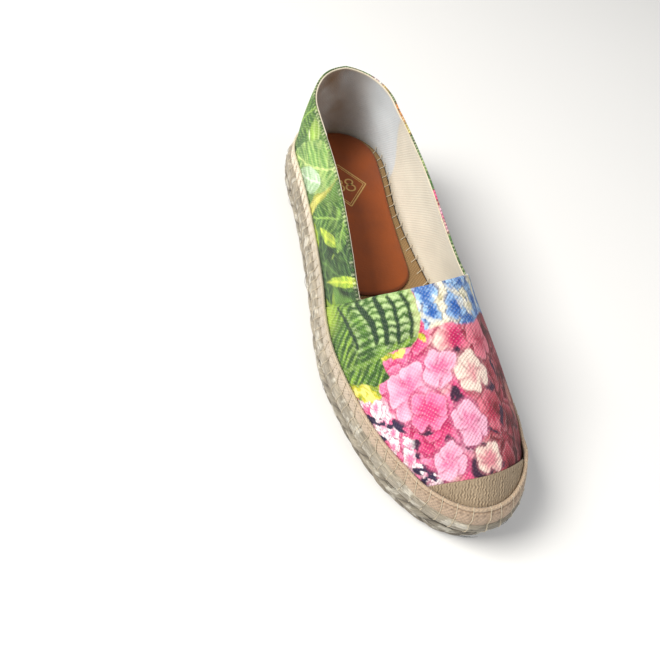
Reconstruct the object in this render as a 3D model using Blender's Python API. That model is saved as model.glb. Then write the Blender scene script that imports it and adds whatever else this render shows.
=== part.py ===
"""Espadrille, right shoe.

A jute sole on a thin rubber outsole, a hollow canvas upper whose vamp laps over the quarters,
a linen toe cap, a flat strip sewn round the foot of the upper, an insole and a leather heel sock.
The toe points along -Y and the inner side of the foot is at +X. Metres, +Z up.
"""
import bmesh
import bpy
import numpy as np

# Driving sizes
MM = 0.001
SOLE_LENGTH = 255 * MM
BALL_HALF_WIDTH = 43.4 * MM
TOE_SWING = 7.8 * MM             # how far the toe's middle lies to the inner side
SOLE_HEIGHT = 27.0 * MM          # floor to the top of the jute
TOE_SPRING = 1.5 * MM            # rise of the sole under the toe
OUTSOLE_THICKNESS = 2.5 * MM
OUTSOLE_INSET = 6.0 * MM
GAP = 0.3 * MM                   # between pieces that meet
WALL = 2.0 * MM                  # canvas and lining
VAMP_LAP = 0.8 * MM              # the vamp's edge stands this far over the quarter
UPPER_INSET = 4.0 * MM           # sole's edge to the foot of the upper
STRIP_HEIGHT = 7.8 * MM
STRIP_THICKNESS = 1.2 * MM
CAP_THICKNESS = 0.9 * MM
CAP_DEPTH = 16.5 * MM            # cap's edge from the tip of the sole, on the middle line
CAP_BOW = 12.5 * MM              # how much further back its ends lie
COLLAR_HEIGHT = 49.5 * MM        # back of the collar above the jute
THROAT_HEIGHT = 58.0 * MM        # middle of the throat above the jute
THROAT_BOW = 14.0 * MM           # how far the throat's middle lies forward of its corners
TOE_FULLNESS = 13.0 * MM         # height at which the toe starts to curve in
INSOLE_THICKNESS = 1.5 * MM
INSOLE_CLEARANCE = 0.7 * MM      # insole's edge to the inside of the upper
SOCK_THICKNESS = 2.5 * MM
SOCK_BACK = 8.5 * MM             # sock's rear end from the tip of the heel
SOCK_LENGTH = 125.0 * MM
SOCK_HALF_WIDTH = 23.0 * MM
SPRING_START = 0.76              # share of the length where the toe spring starts
VAMP_SLOPE = 26.0                # degrees, instep ridge at the throat
TOE_LEAN = 6.0                   # degrees that the toe's wall leans out
ROUND_COLUMNS = 96               # columns of faces round the shoe

# Half widths of the sole: share of the length from the heel, share of the ball's half width
OUTER_EDGE = [
    dict(along=0.00, width=0.775),
    dict(along=0.15, width=0.740),
    dict(along=0.32, width=0.780),
    dict(along=0.50, width=0.888),
    dict(along=0.64, width=1.000),
    dict(along=0.76, width=1.002),
    dict(along=0.88, width=0.982),
    dict(along=1.00, width=0.880),
]
INNER_EDGE = [
    dict(along=0.00, width=0.775),
    dict(along=0.15, width=0.765),
    dict(along=0.32, width=0.660),
    dict(along=0.45, width=0.695),
    dict(along=0.60, width=0.810),
    dict(along=0.72, width=0.982),
    dict(along=0.85, width=0.955),
    dict(along=1.00, width=0.930),
]
HEEL_ROUND = 0.138               # shares of the length over which each end is rounded
OUTER_TOE_ROUND = 0.500
INNER_TOE_ROUND = 0.180

# Collar from the heel to the throat's corner: shares of the way, of the collar height,
# and of the collar height again for how far it lies in from the sole's edge
COLLAR = [
    dict(way=0.00, outer_height=1.00, inner_height=1.00, outer_inset=0.19, inner_inset=0.19),
    dict(way=0.20, outer_height=0.97, inner_height=0.96, outer_inset=0.20, inner_inset=0.20),
    dict(way=0.45, outer_height=0.85, inner_height=0.90, outer_inset=0.19, inner_inset=0.19),
    dict(way=0.70, outer_height=0.79, inner_height=0.94, outer_inset=0.23, inner_inset=0.12),
    dict(way=1.00, outer_height=0.64, inner_height=0.87, outer_inset=0.26, inner_inset=0.29),
]
OUTER_CORNER_ALONG = 0.607       # throat's corners, shares of the length
INNER_CORNER_ALONG = 0.597
OUTER_SEAM_ALONG = 0.540         # feet of the side seams
INNER_SEAM_ALONG = 0.590

# Side of the jute: share of the height from the bottom, share of the roundness below
JUTE_SIDE = [
    dict(up=0.000, inset=1.00),
    dict(up=0.060, inset=0.72),
    dict(up=0.170, inset=0.52),
    dict(up=0.290, inset=0.62),
    dict(up=0.330, inset=0.74),
    dict(up=0.380, inset=0.30),
    dict(up=0.500, inset=0.02),
    dict(up=0.620, inset=0.20),
    dict(up=0.655, inset=0.40),
    dict(up=0.700, inset=0.12),
    dict(up=0.820, inset=0.00),
    dict(up=0.940, inset=0.16),
    dict(up=1.000, inset=0.50),
]
JUTE_ROUNDNESS = 4.2 * MM        # inset of the jute's lowest edge

# Plan of the heel sock: share of its length from the heel, shares of its half width
SOCK_PLAN = [
    dict(along=0.00, middle=0.02, half=1.02),
    dict(along=0.25, middle=-0.04, half=1.01),
    dict(along=0.60, middle=-0.14, half=0.92),
    dict(along=1.00, middle=-0.22, half=0.90),
]


def smooth(rows, key, value, at):
    """Cubic curve through the rows of a table, read at the given places."""
    place = np.array([row[key] for row in rows])
    height = np.array([row[value] for row in rows])
    step = np.diff(place)
    rise = np.diff(height) / step
    slope = np.empty_like(height)
    slope[1:-1] = (rise[:-1] * step[1:] + rise[1:] * step[:-1]) / (step[:-1] + step[1:])
    slope[0] = rise[0]
    slope[-1] = rise[-1]
    at = np.clip(at, place[0], place[-1])
    span = np.clip(np.searchsorted(place, at, side="right") - 1, 0, len(step) - 1)
    width = step[span]
    t = (at - place[span]) / width
    start = (1 + 2 * t) * (1 - t) ** 2 * height[span] + t * (1 - t) ** 2 * width * slope[span]
    end = t * t * (3 - 2 * t) * height[span + 1] + t * t * (t - 1) * width * slope[span + 1]
    return start + end


def unit(vectors):
    """Each vector at length one."""
    return vectors / np.maximum(np.linalg.norm(vectors, axis=-1, keepdims=True), 1e-9)


def way_round(along):
    """Place round the shoe, 0 at the heel and 1 at the toe, for a share of the length."""
    return np.arccos(1 - 2 * along) / np.pi


def end_round(distance, reach, power):
    """Narrows an outline from 1 to 0 over its last stretch."""
    return (1 - (1 - np.clip(distance / reach, 0, 1)) ** power) ** (1 / power)


def sole_edge(turn):
    """Outline of the sole: 0 at the heel, 1 at the toe by the outer side, 2 back at the heel."""
    turn = np.asarray(turn, float) % 2.0
    along = (1 - np.cos(np.pi * turn)) / 2
    outer = smooth(OUTER_EDGE, "along", "width", along) * BALL_HALF_WIDTH
    inner = smooth(INNER_EDGE, "along", "width", along) * BALL_HALF_WIDTH
    swing = TOE_SWING * np.clip((along - 0.5) / 0.5, 0, 1) ** 1.55
    heel = end_round(along, HEEL_ROUND, 2.0)
    outer_toe = end_round(1 - along, OUTER_TOE_ROUND, 2.1)
    inner_toe = end_round(1 - along, INNER_TOE_ROUND, 2.1)
    left = swing - (outer + swing) * heel * outer_toe
    right = swing + (inner - swing) * heel * inner_toe
    return np.stack([np.where(turn <= 1, left, right), SOLE_LENGTH * (0.5 - along)], -1)


def outward(turn):
    """Direction out of the sole's outline, in plan."""
    step = 1e-4
    along = unit(sole_edge(turn + step) - sole_edge(turn - step))
    return np.stack([along[..., 1], -along[..., 0]], -1)


def inset_edge(turn, inset):
    """The sole's outline moved in by a distance."""
    return sole_edge(turn) - outward(turn) * np.broadcast_to(inset, np.shape(turn))[..., None]


def spring(y):
    """Rise of the sole towards the toe."""
    along = 0.5 - y / SOLE_LENGTH
    return TOE_SPRING * np.clip((along - SPRING_START) / (1 - SPRING_START), 0, 1) ** 2


def lifted(plan, height):
    """Points of a plan at a height above the floor, with the toe spring added."""
    height = np.broadcast_to(height, plan.shape[:-1])
    return np.concatenate([plan, (height + spring(plan[..., 1]))[..., None]], -1)


SEAM_OUTER = way_round(OUTER_SEAM_ALONG)
SEAM_INNER = 2 - way_round(INNER_SEAM_ALONG)


def collar_line(turn):
    """Edge of the opening: the collar round the heel, and the throat between its corners."""
    way = np.where(turn <= 1, turn / SEAM_OUTER, (2 - turn) / (2 - SEAM_INNER))
    way = np.clip(way, 0, 1)
    is_outer = turn <= 1
    height = np.where(is_outer, smooth(COLLAR, "way", "outer_height", way),
                      smooth(COLLAR, "way", "inner_height", way)) * COLLAR_HEIGHT
    inset = np.where(is_outer, smooth(COLLAR, "way", "outer_inset", way),
                     smooth(COLLAR, "way", "inner_inset", way)) * COLLAR_HEIGHT
    outer_corner = way_round(OUTER_CORNER_ALONG)
    inner_corner = 2 - way_round(INNER_CORNER_ALONG)
    plan = inset_edge(np.where(is_outer, way * outer_corner, 2 - way * (2 - inner_corner)), inset)
    collar = np.concatenate([plan, (SOLE_HEIGHT + height)[..., None]], -1)
    across = np.clip((turn - SEAM_OUTER) / (SEAM_INNER - SEAM_OUTER), 0, 1)
    first = collar_corner(outer_corner, "outer")
    last = collar_corner(inner_corner, "inner")
    arch = 1 - np.abs(2 * across - 1) ** 2.4
    throat = first + (last - first) * across[..., None]
    throat[..., 1] -= THROAT_BOW * arch
    throat[..., 2] += (SOLE_HEIGHT + THROAT_HEIGHT - (first[2] + last[2]) / 2) * arch
    in_throat = (turn > SEAM_OUTER) & (turn < SEAM_INNER)
    return np.where(in_throat[..., None], throat, collar)


def collar_corner(turn, side):
    """One corner between collar and throat."""
    plan = inset_edge(np.array([turn]), COLLAR[-1][side + "_inset"] * COLLAR_HEIGHT)[0]
    return np.array([plan[0], plan[1], SOLE_HEIGHT + COLLAR[-1][side + "_height"] * COLLAR_HEIGHT])


def last_surface(turn, rows):
    """Outside of the quarters and of the canvas under the vamp's lap, foot to collar.

    Each column is a cubic curve from the foot of the upper to the edge of the opening.
    """
    foot = lifted(inset_edge(turn, UPPER_INSET), SOLE_HEIGHT + GAP)
    top = collar_line(turn)
    out = np.concatenate([outward(turn), np.zeros(turn.shape + (1,))], -1)
    across = np.clip((turn - SEAM_OUTER) / (SEAM_INNER - SEAM_OUTER), 0, 1)
    is_vamp = (turn > SEAM_OUTER) & (turn < SEAM_INNER)
    share = np.where(is_vamp, np.sin(np.pi * across) ** 0.7, 0)[..., None]
    wall = unit(top - foot)
    lean = np.radians(8)
    slope = np.radians(VAMP_SLOPE)
    toe_lean = np.radians(TOE_LEAN)
    quarter_top = wall * np.cos(lean) - out * np.sin(lean)
    ridge = np.array([0, np.cos(slope), np.sin(slope)])
    arrive = unit(quarter_top * (1 - share) + ridge * share)
    toe_wall = np.array([0, 0, np.cos(toe_lean)]) + out * np.sin(toe_lean)
    leave = toe_wall * share + (wall + toe_wall) / 2 * (1 - share)
    reach = np.linalg.norm(top - foot, axis=-1, keepdims=True)
    low = reach * 0.35 * (1 - share) + TOE_FULLNESS * share
    high = reach * (0.35 * (1 - share) + 0.40 * share)
    t = np.asarray(rows, float)[:, None, None]
    second = foot + low * leave
    third = top - high * arrive
    return (1 - t) ** 3 * foot + 3 * t * (1 - t) ** 2 * second + 3 * t * t * (1 - t) * third + t ** 3 * top


def surface_normals(grid):
    """Outward directions of a grid of points whose columns run round the shoe."""
    round_step = np.roll(grid, -1, axis=1) - np.roll(grid, 1, axis=1)
    up_step = np.gradient(grid, axis=0)
    return unit(np.cross(round_step, up_step))


def round_columns():
    """Places round the shoe, with a close pair at each side seam for the vamp's step."""
    beside = 0.004
    places = np.linspace(0, 2, ROUND_COLUMNS, endpoint=False)
    for seam in (SEAM_OUTER, SEAM_INNER):
        places = places[np.abs(places - seam) > 2.2 * beside]
        places = np.append(places, [seam - beside, seam + beside])
    return np.sort(places)


def vamp_step(turn):
    """How far the outside stands off the quarters' surface."""
    return np.where((turn > SEAM_OUTER) & (turn < SEAM_INNER), VAMP_LAP, 0.0)


def make_object(name, grid, colour, roughness, closed_round=True):
    """Mesh object from rings of points; the first and last ring are joined across the wall."""
    rings, columns = grid.shape[:2]
    faces = []
    last = columns if closed_round else columns - 1
    for ring in range(rings):
        above = (ring + 1) % rings
        for column in range(last):
            beside = (column + 1) % columns
            faces.append((ring * columns + column, ring * columns + beside,
                          above * columns + beside, above * columns + column))
    if not closed_round:
        faces.append(tuple(ring * columns for ring in range(rings)))
        faces.append(tuple(ring * columns + columns - 1 for ring in reversed(range(rings))))
    return finish_object(name, grid.reshape(-1, 3), faces, colour, roughness)


def make_slab(name, rings, colour, roughness):
    """Mesh object from rings of points, bottom to top, closed by a face at each end."""
    count, columns = rings.shape[:2]
    faces = []
    for ring in range(count - 1):
        for column in range(columns):
            beside = (column + 1) % columns
            faces.append((ring * columns + column, ring * columns + beside,
                          (ring + 1) * columns + beside, (ring + 1) * columns + column))
    middle = columns // 2
    top = (count - 1) * columns
    for near in range(middle):
        far = (columns - near) % columns
        far_next = columns - near - 1
        corners = [near, far, far_next, near + 1]
        unique = list(dict.fromkeys(corners))
        if len(unique) > 2:
            faces.append(tuple(unique))
            faces.append(tuple(top + corner for corner in reversed(unique)))
    return finish_object(name, rings.reshape(-1, 3), faces, colour, roughness)


def finish_object(name, points, faces, colour, roughness):
    """Links a mesh with its own material into the scene."""
    mesh = bpy.data.meshes.new(name)
    mesh.from_pydata([tuple(point) for point in points], [], faces)
    shape = bmesh.new()
    shape.from_mesh(mesh)
    bmesh.ops.recalc_face_normals(shape, faces=shape.faces)
    shape.to_mesh(mesh)
    shape.free()
    thing = bpy.data.objects.new(name, mesh)
    bpy.context.scene.collection.objects.link(thing)
    material = bpy.data.materials.new(name)
    material.use_nodes = True
    shader = material.node_tree.nodes["Principled BSDF"]
    shader.inputs["Base Color"].default_value = (*colour, 1)
    shader.inputs["Roughness"].default_value = roughness
    shader.inputs["Metallic"].default_value = 0
    mesh.materials.append(material)
    return thing


def make_outsole():
    """Thin dark rubber under the jute, set in from its edge."""
    turn = np.linspace(0, 2, ROUND_COLUMNS, endpoint=False)
    plan = inset_edge(turn, OUTSOLE_INSET)
    rings = np.stack([lifted(plan, 0.0), lifted(plan, OUTSOLE_THICKNESS)])
    return make_slab("outsole", rings, (0.03, 0.026, 0.024), 0.7)


def make_jute_sole():
    """Body of braided jute whose three rows show as ribs round the side."""
    turn = np.linspace(0, 2, ROUND_COLUMNS, endpoint=False)
    bottom = OUTSOLE_THICKNESS + GAP
    rings = []
    for row in JUTE_SIDE:
        plan = inset_edge(turn, row["inset"] * JUTE_ROUNDNESS)
        rings.append(lifted(plan, bottom + (SOLE_HEIGHT - bottom) * row["up"]))
    return make_slab("jute_sole", np.stack(rings), (0.42, 0.36, 0.27), 0.9)


def make_upper():
    """Hollow canvas upper: outside, folded edge and inside as one skin round the wall."""
    turn = round_columns()
    rows = np.linspace(0, 1, 10)
    base = last_surface(turn, rows)
    normals = surface_normals(base)
    outside = base + normals * vamp_step(turn)[:, None]
    inside = base - normals * WALL
    edge_up = unit(base[-1] - base[-2])
    edge_middle = (outside[-1] + inside[-1]) / 2
    half = (outside[-1] - inside[-1]) / 2
    fold = []
    for angle in (45, 90, 135):
        turned = np.radians(angle)
        fold.append(edge_middle + half * np.cos(turned) + edge_up * WALL / 2 * np.sin(turned))
    floor = SOLE_HEIGHT + GAP
    inside[0, :, 2] = floor + spring(inside[0, :, 1])
    outside[0, :, 2] = floor + spring(outside[0, :, 1])
    grid = np.concatenate([outside, np.stack(fold), inside[::-1]])
    return make_object("upper", grid, (0.62, 0.30, 0.36), 0.85)


def rows_at_height(turn, height):
    """Row of the last's surface where each column is a height above its foot."""
    rows = np.linspace(0, 0.5, 60)
    grid = last_surface(turn, rows)
    above = grid[..., 2] - grid[:1, :, 2]
    return np.array([np.interp(height, above[:, column], rows) for column in range(len(turn))])


def surface_at(turn, rows):
    """Points of the last's surface with a row of their own for each column, and their normals."""
    step = 1e-3
    low = np.clip(rows - step, 0, 1)
    high = np.clip(rows + step, 0, 1)

    def point(places, at):
        columns = [last_surface(places[i:i + 1], [at[i]])[0, 0] for i in range(len(places))]
        return np.array(columns)

    centre = point(turn, rows)
    up_step = point(turn, high) - point(turn, low)
    round_step = point(turn + step, rows) - point(turn - step, rows)
    return centre, unit(np.cross(round_step, up_step))


def make_welt_strip():
    """Flat strip that stands on the jute round the foot of the upper."""
    turn = np.linspace(0, 2, ROUND_COLUMNS, endpoint=False)
    cap_start, cap_end = cap_reach()
    ramp = 0.03
    over_vamp = np.clip((turn - SEAM_OUTER) / ramp + 1, 0, 1) * np.clip((SEAM_INNER - turn) / ramp + 1, 0, 1)
    over_cap = np.clip((turn - cap_start) / ramp + 1, 0, 1) * np.clip((cap_end - turn) / ramp + 1, 0, 1)
    stand_off = GAP + VAMP_LAP * over_vamp + (CAP_THICKNESS + GAP) * over_cap
    inner = []
    outer = []
    for share in np.linspace(0, 1, 5):
        centre, normals = surface_at(turn, rows_at_height(turn, STRIP_HEIGHT * share))
        inner.append(centre + normals * stand_off[:, None])
        outer.append(centre + normals * (stand_off + STRIP_THICKNESS)[:, None])
    for ring in (inner[0], outer[0]):
        ring[:, 2] = SOLE_HEIGHT + GAP + spring(ring[:, 1])
    grid = np.stack(outer + inner[::-1])
    return make_object("welt_strip", grid, (0.78, 0.62, 0.47), 0.8)


def cap_back(x):
    """Y of the cap's rear edge, an arc that bulges to the toe."""
    tip = -SOLE_LENGTH / 2
    sideways = (x - TOE_SWING / 2) / (BALL_HALF_WIDTH * 0.83)
    return tip + CAP_DEPTH + CAP_BOW * sideways ** 2


def cap_reach():
    """Places round the shoe where the cap's rear edge meets the foot of the upper."""
    turn = np.linspace(0.5, 1.5, 1001)
    foot = inset_edge(turn, UPPER_INSET)
    under_cap = turn[foot[:, 1] < cap_back(foot[:, 0])]
    return under_cap[0], under_cap[-1]


def make_toe_cap():
    """Plain linen piece over the toe end of the vamp, down to the jute behind the strip."""
    start, end = cap_reach()
    margin = 0.012
    turn = np.linspace(start + margin, end - margin, 33)
    rows = np.linspace(0, 0.6, 121)
    grid = last_surface(turn, rows)
    top = []
    for column in range(len(turn)):
        behind = grid[:, column, 1] > cap_back(grid[:, column, 0])
        top.append(rows[np.argmax(behind)] if behind.any() else rows[-1])
    top = np.maximum(np.array(top), 0.03)
    under = []
    over = []
    for share in np.linspace(0, 1, 8):
        centre, normals = surface_at(turn, top * share)
        under.append(centre + normals * (VAMP_LAP + GAP))
        over.append(centre + normals * (VAMP_LAP + GAP + CAP_THICKNESS))
    for ring in (under[0], over[0]):
        ring[:, 2] = SOLE_HEIGHT + GAP + spring(ring[:, 1])
    grid = np.stack(over + under[::-1])
    return make_object("toe_cap", grid, (0.45, 0.33, 0.20), 0.85, closed_round=False)


def inside_edge(turn, height):
    """Plan of the upper's inside at a height above its foot, less the insole's clearance."""
    centre, normals = surface_at(turn, rows_at_height(turn, height))
    inside = centre - normals * (WALL + INSOLE_CLEARANCE)
    return inside[:, :2]


def make_insole():
    """Thin insole that covers the jute inside the upper."""
    turn = np.linspace(0, 2, ROUND_COLUMNS, endpoint=False)
    plan = inside_edge(turn, INSOLE_THICKNESS + GAP)
    bottom = SOLE_HEIGHT + GAP
    rings = np.stack([lifted(plan, bottom), lifted(plan, bottom + INSOLE_THICKNESS)])
    return make_slab("insole", rings, (0.40, 0.25, 0.10), 0.85)


def make_heel_sock():
    """Padded leather piece from the heel to the middle of the foot, with rounded ends."""
    turn = np.linspace(0, 2, 48, endpoint=False)
    along = (1 - np.cos(np.pi * turn)) / 2
    y = SOLE_LENGTH / 2 - SOCK_BACK - SOCK_LENGTH * along
    middle = SOCK_HALF_WIDTH * smooth(SOCK_PLAN, "along", "middle", along)
    half = SOCK_HALF_WIDTH * smooth(SOCK_PLAN, "along", "half", along)
    ends = end_round(along, 0.22, 2.1) * end_round(1 - along, 0.14, 2.4)
    x = middle + np.where(turn <= 1, -1, 1) * half * ends
    plan = np.stack([x, y], -1)
    bottom = SOLE_HEIGHT + 2 * GAP + INSOLE_THICKNESS
    inner = plan - unit(plan - plan.mean(axis=0)) * SOCK_THICKNESS * 0.4
    rings = np.stack([lifted(plan, bottom), lifted(plan, bottom + SOCK_THICKNESS * 0.6),
                      lifted(inner, bottom + SOCK_THICKNESS)])
    return make_slab("heel_sock", rings, (0.25, 0.06, 0.015), 0.5)


def main():
    for thing in list(bpy.data.objects):
        bpy.data.objects.remove(thing, do_unlink=True)
    make_outsole()
    make_jute_sole()
    make_upper()
    make_welt_strip()
    make_toe_cap()
    make_insole()
    make_heel_sock()


main()
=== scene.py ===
# Espadrille, right shoe: printed canvas on braided jute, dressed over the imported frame.
# Toe along -Y, inner side of the foot at +X, metres. Charts and the print are worked out in millimetres.
import bpy
import mathutils
import numpy as np
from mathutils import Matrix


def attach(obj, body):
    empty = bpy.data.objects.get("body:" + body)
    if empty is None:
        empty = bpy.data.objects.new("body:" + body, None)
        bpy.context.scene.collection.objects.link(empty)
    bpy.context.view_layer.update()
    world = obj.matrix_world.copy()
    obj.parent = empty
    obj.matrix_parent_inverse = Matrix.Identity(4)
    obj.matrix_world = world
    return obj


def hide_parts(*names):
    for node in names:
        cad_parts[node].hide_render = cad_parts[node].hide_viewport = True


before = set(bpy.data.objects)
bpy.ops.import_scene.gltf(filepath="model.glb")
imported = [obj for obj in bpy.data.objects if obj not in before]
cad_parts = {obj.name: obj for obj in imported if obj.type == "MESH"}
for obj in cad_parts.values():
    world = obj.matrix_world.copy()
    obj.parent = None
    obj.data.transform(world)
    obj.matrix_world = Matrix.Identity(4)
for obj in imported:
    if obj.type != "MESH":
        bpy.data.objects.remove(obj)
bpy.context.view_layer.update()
mm = 0.001
pi = np.pi


# Small tools

def srgb(code):
    # sRGB hex to linear: each channel through the sRGB curve
    part = np.array([int(code[i:i + 2], 16) / 255 for i in (1, 3, 5)])
    return np.where(part <= 0.04045, part / 12.92, ((part + 0.055) / 1.055) ** 2.4)


def colour(code):
    return (*srgb(code), 1.0)


def table(columns, rows):
    # one dictionary for each row, under the columns' names
    return [dict(zip(columns.split(), row)) for row in rows]


def bell(x, middle, width):
    return np.exp(-((x - middle) / width) ** 2)


def unit(v):
    return v / np.maximum(np.linalg.norm(v, axis=-1, keepdims=True), 1e-9)


def ramp(x, low, high):
    # 0 below low, 1 above high, smooth between
    t = np.clip((x - low) / (high - low), 0, 1)
    return t * t * (3 - 2 * t)


def runLength(points):
    # length along a line of points from its first one, for each column of a grid
    steps = np.linalg.norm(np.diff(points, axis=0), axis=-1)
    return np.concatenate([np.zeros((1,) + steps.shape[1:]), np.cumsum(steps, axis=0)])


def smoothTable(rows, value, at):
    # cubic through the rows of a table, with slopes from the neighbours
    place = np.array([row["along"] for row in rows])
    height = np.array([row[value] for row in rows])
    step = np.diff(place)
    rise = np.diff(height) / step
    between = (rise[:-1] * step[1:] + rise[1:] * step[:-1]) / (step[:-1] + step[1:])
    slope = np.concatenate([rise[:1], between, rise[-1:]])
    at = np.clip(at, place[0], place[-1])
    k = np.clip(np.searchsorted(place, at, side="right") - 1, 0, len(step) - 1)
    w = step[k]
    t = (at - place[k]) / w
    start = (1 + 2 * t) * (1 - t) ** 2 * height[k] + t * (1 - t) ** 2 * w * slope[k]
    return start + t * t * (3 - 2 * t) * height[k + 1] + t * t * (t - 1) * w * slope[k + 1]


def noise(x, y, size, seed):
    # value noise: random numbers on a lattice of the given size, blended smoothly between its corners
    cells = 97
    lattice = np.random.default_rng(seed).random((cells, cells))
    u, v = np.asarray(x) / size + 41.3, np.asarray(y) / size + 17.9
    i, j = np.floor(u).astype(int), np.floor(v).astype(int)
    s, t = u - i, v - j
    s, t = s * s * (3 - 2 * s), t * t * (3 - 2 * t)
    i, j, k, l = i % cells, j % cells, (i + 1) % cells, (j + 1) % cells
    near = lattice[i, j] * (1 - s) + lattice[k, j] * s
    far = lattice[i, l] * (1 - s) + lattice[k, l] * s
    return near * (1 - t) + far * t


def clouds(x, y, size, seed):
    # three octaves of value noise, each half as large and half as strong as the last, centred on 0
    return sum(noise(x, y, size / 2 ** k, seed + k) / 2 ** k for k in range(3)) / 1.75 - 0.5


def ownFrame(a, b, spot):
    # a place seen from a turned ellipse: 1 at its half length and 1 at its half width
    turned = np.radians(spot["turn"])
    du, dv = a - spot["a"], b - spot["b"]
    u = (du * np.cos(turned) + dv * np.sin(turned)) / spot["long"]
    return u, (dv * np.cos(turned) - du * np.sin(turned)) / spot["wide"]


# Meshes

def gridMesh(name, grid, uv=None, paint=None, closeRows=True, closeColumns=True):
    # quads between neighbouring rows and columns of points; open ends get one face each
    rows, columns = grid.shape[:2]
    lastRow = rows if closeRows else rows - 1
    lastColumn = columns if closeColumns else columns - 1
    r, c = np.meshgrid(np.arange(lastRow), np.arange(lastColumn), indexing="ij")
    r, c = np.stack([r, r, r + 1, r + 1], -1), np.stack([c, c + 1, c + 1, c], -1)
    loops = ((r % rows) * columns + c % columns).reshape(-1)
    ends = []
    if not closeColumns:
        ends = [np.arange(rows)[::-1] * columns, np.arange(rows) * columns + columns - 1]
    if not closeRows:
        ends = [np.arange(columns)[::-1], np.arange(columns) + (rows - 1) * columns]
    sizes = [4] * (len(loops) // 4) + [len(end) for end in ends]
    if uv is not None:
        # a closed grid's map has one more row or column than its points, and so no jump back
        endMaps = [np.repeat(uv[:1, 0], len(end), axis=0) for end in ends]
        uv = np.concatenate([uv[r, c].reshape(-1, 2)] + endMaps)
    return buildMesh(name, grid.reshape(-1, 3), np.concatenate([loops] + ends), sizes, uv, paint)


def buildMesh(name, points, loops, sizes, uv=None, paint=None):
    mesh = bpy.data.meshes.new(name)
    mesh.vertices.add(len(points))
    mesh.vertices.foreach_set("co", np.ascontiguousarray(points, dtype=np.float32).reshape(-1))
    mesh.loops.add(len(loops))
    mesh.loops.foreach_set("vertex_index", loops.astype(np.int32))
    mesh.polygons.add(len(sizes))
    mesh.polygons.foreach_set("loop_start", (np.cumsum(sizes) - sizes).astype(np.int32))
    if uv is not None:
        layer = mesh.uv_layers.new(name="cloth")
        layer.data.foreach_set("uv", np.ascontiguousarray(uv, dtype=np.float32).reshape(-1))
    mesh.update(calc_edges=True)
    mesh.shade_smooth()
    if paint is not None:
        layer = mesh.color_attributes.new("paint", "FLOAT_COLOR", "POINT")
        rgba = np.concatenate([np.clip(paint.reshape(-1, 3), 0, 1), np.ones((len(points), 1))], 1)
        layer.data.foreach_set("color", rgba.astype(np.float32).reshape(-1))
    piece = bpy.data.objects.new(name, mesh)
    bpy.context.scene.collection.objects.link(piece)
    return piece


def joinTubes(name, everyTube):
    # one mesh of tubes that are each given as rings of points, and closed at both ends
    loops, sizes, points, count = [], [], [], 0
    for rings in everyTube:
        steps, sides = rings.shape[:2]
        s, a = np.meshgrid(np.arange(steps - 1) * sides, np.arange(sides), indexing="ij")
        b = (a + 1) % sides
        walls = np.stack([s + a, s + b, s + sides + b, s + sides + a], -1).reshape(-1)
        ends = [np.arange(sides)[::-1], (steps - 1) * sides + np.arange(sides)]
        loops.append(np.concatenate([walls] + ends) + count)
        sizes += [4] * (len(walls) // 4) + [sides, sides]
        points.append(rings.reshape(-1, 3))
        count += steps * sides
    return buildMesh(name, np.concatenate(points), np.concatenate(loops), sizes)


def tubes(name, paths, radius, sides=6, taper=0.0):
    # round tubes along many paths at once, thinner towards both ends by taper times the sixth power
    along = unit(np.gradient(paths, axis=1))
    side = unit(np.cross(along, np.array([0.31, 0.17, 0.93])))
    other = np.cross(along, side)
    angle = (np.arange(sides) * 2 * pi / sides)[:, None]
    share = np.linspace(-1, 1, paths.shape[1])
    thick = radius * np.sqrt(np.clip(1 - taper * share ** 6, 0.02, 1))[None, :, None, None]
    ring = side[:, :, None] * np.cos(angle) + other[:, :, None] * np.sin(angle)
    return joinTubes(name, paths[:, :, None] + ring * thick)


def dress(piece, slot, material, *nodes):
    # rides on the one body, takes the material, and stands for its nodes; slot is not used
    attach(piece, "root")
    if nodes:
        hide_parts(*nodes)
    piece.data.materials.clear()
    piece.data.materials.append(material)
    print(piece.name, len(piece.data.polygons), "faces")


# Materials

def addNode(tree, kind, sockets=None, **settings):
    # one node with its settings; a socket's value is a number, a colour or another node's output
    node = tree.nodes.new(kind)
    for key, value in settings.items():
        setattr(node, key, value)
    for key, value in (sockets or {}).items():
        if isinstance(value, bpy.types.NodeSocket):
            tree.links.new(value, node.inputs[key])
        else:
            node.inputs[key].default_value = value
    return node


def newMaterial(name, roughness, specular=0.5, sheen=0.0, metallic=0.0):
    material = bpy.data.materials.new(name)
    material.use_nodes = True
    shader = material.node_tree.nodes["Principled BSDF"]
    values = {
        "Roughness": roughness, "Specular IOR Level": specular, "Sheen Weight": sheen, "Metallic": metallic,
    }
    for socket, value in values.items():
        shader.inputs[socket].default_value = value
    return material, material.node_tree


def clothMap(tree):
    # the piece's own map in millimetres, and its painted colour
    uv = addNode(tree, "ShaderNodeUVMap", uv_map="cloth").outputs[0]
    return uv, addNode(tree, "ShaderNodeAttribute", attribute_name="paint").outputs[0]


def weave(tree, uv, pitch):
    # plain weave: sine across the warp times sine across the weft, so crossings alternate up and down
    parts = addNode(tree, "ShaderNodeSeparateXYZ", {0: uv})
    waves = []
    for axis in (0, 1):
        along = parts.outputs[axis]
        turned = addNode(tree, "ShaderNodeMath", {0: along, 1: pi / pitch}, operation="MULTIPLY")
        waves.append(addNode(tree, "ShaderNodeMath", {0: turned.outputs[0]}, operation="SINE").outputs[0])
    return addNode(tree, "ShaderNodeMath", {0: waves[0], 1: waves[1]}, operation="MULTIPLY").outputs[0]


def toned(tree, paint, value, low, high, span=(0.3, 0.7)):
    # paint times a factor, which goes from low to high as the value goes across its span
    factor = addNode(tree, "ShaderNodeMapRange", {0: value, 1: span[0], 2: span[1], 3: low, 4: high})
    scaled = addNode(tree, "ShaderNodeVectorMath", {0: paint, "Scale": factor.outputs[0]}, operation="SCALE")
    return scaled.outputs[0]


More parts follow.
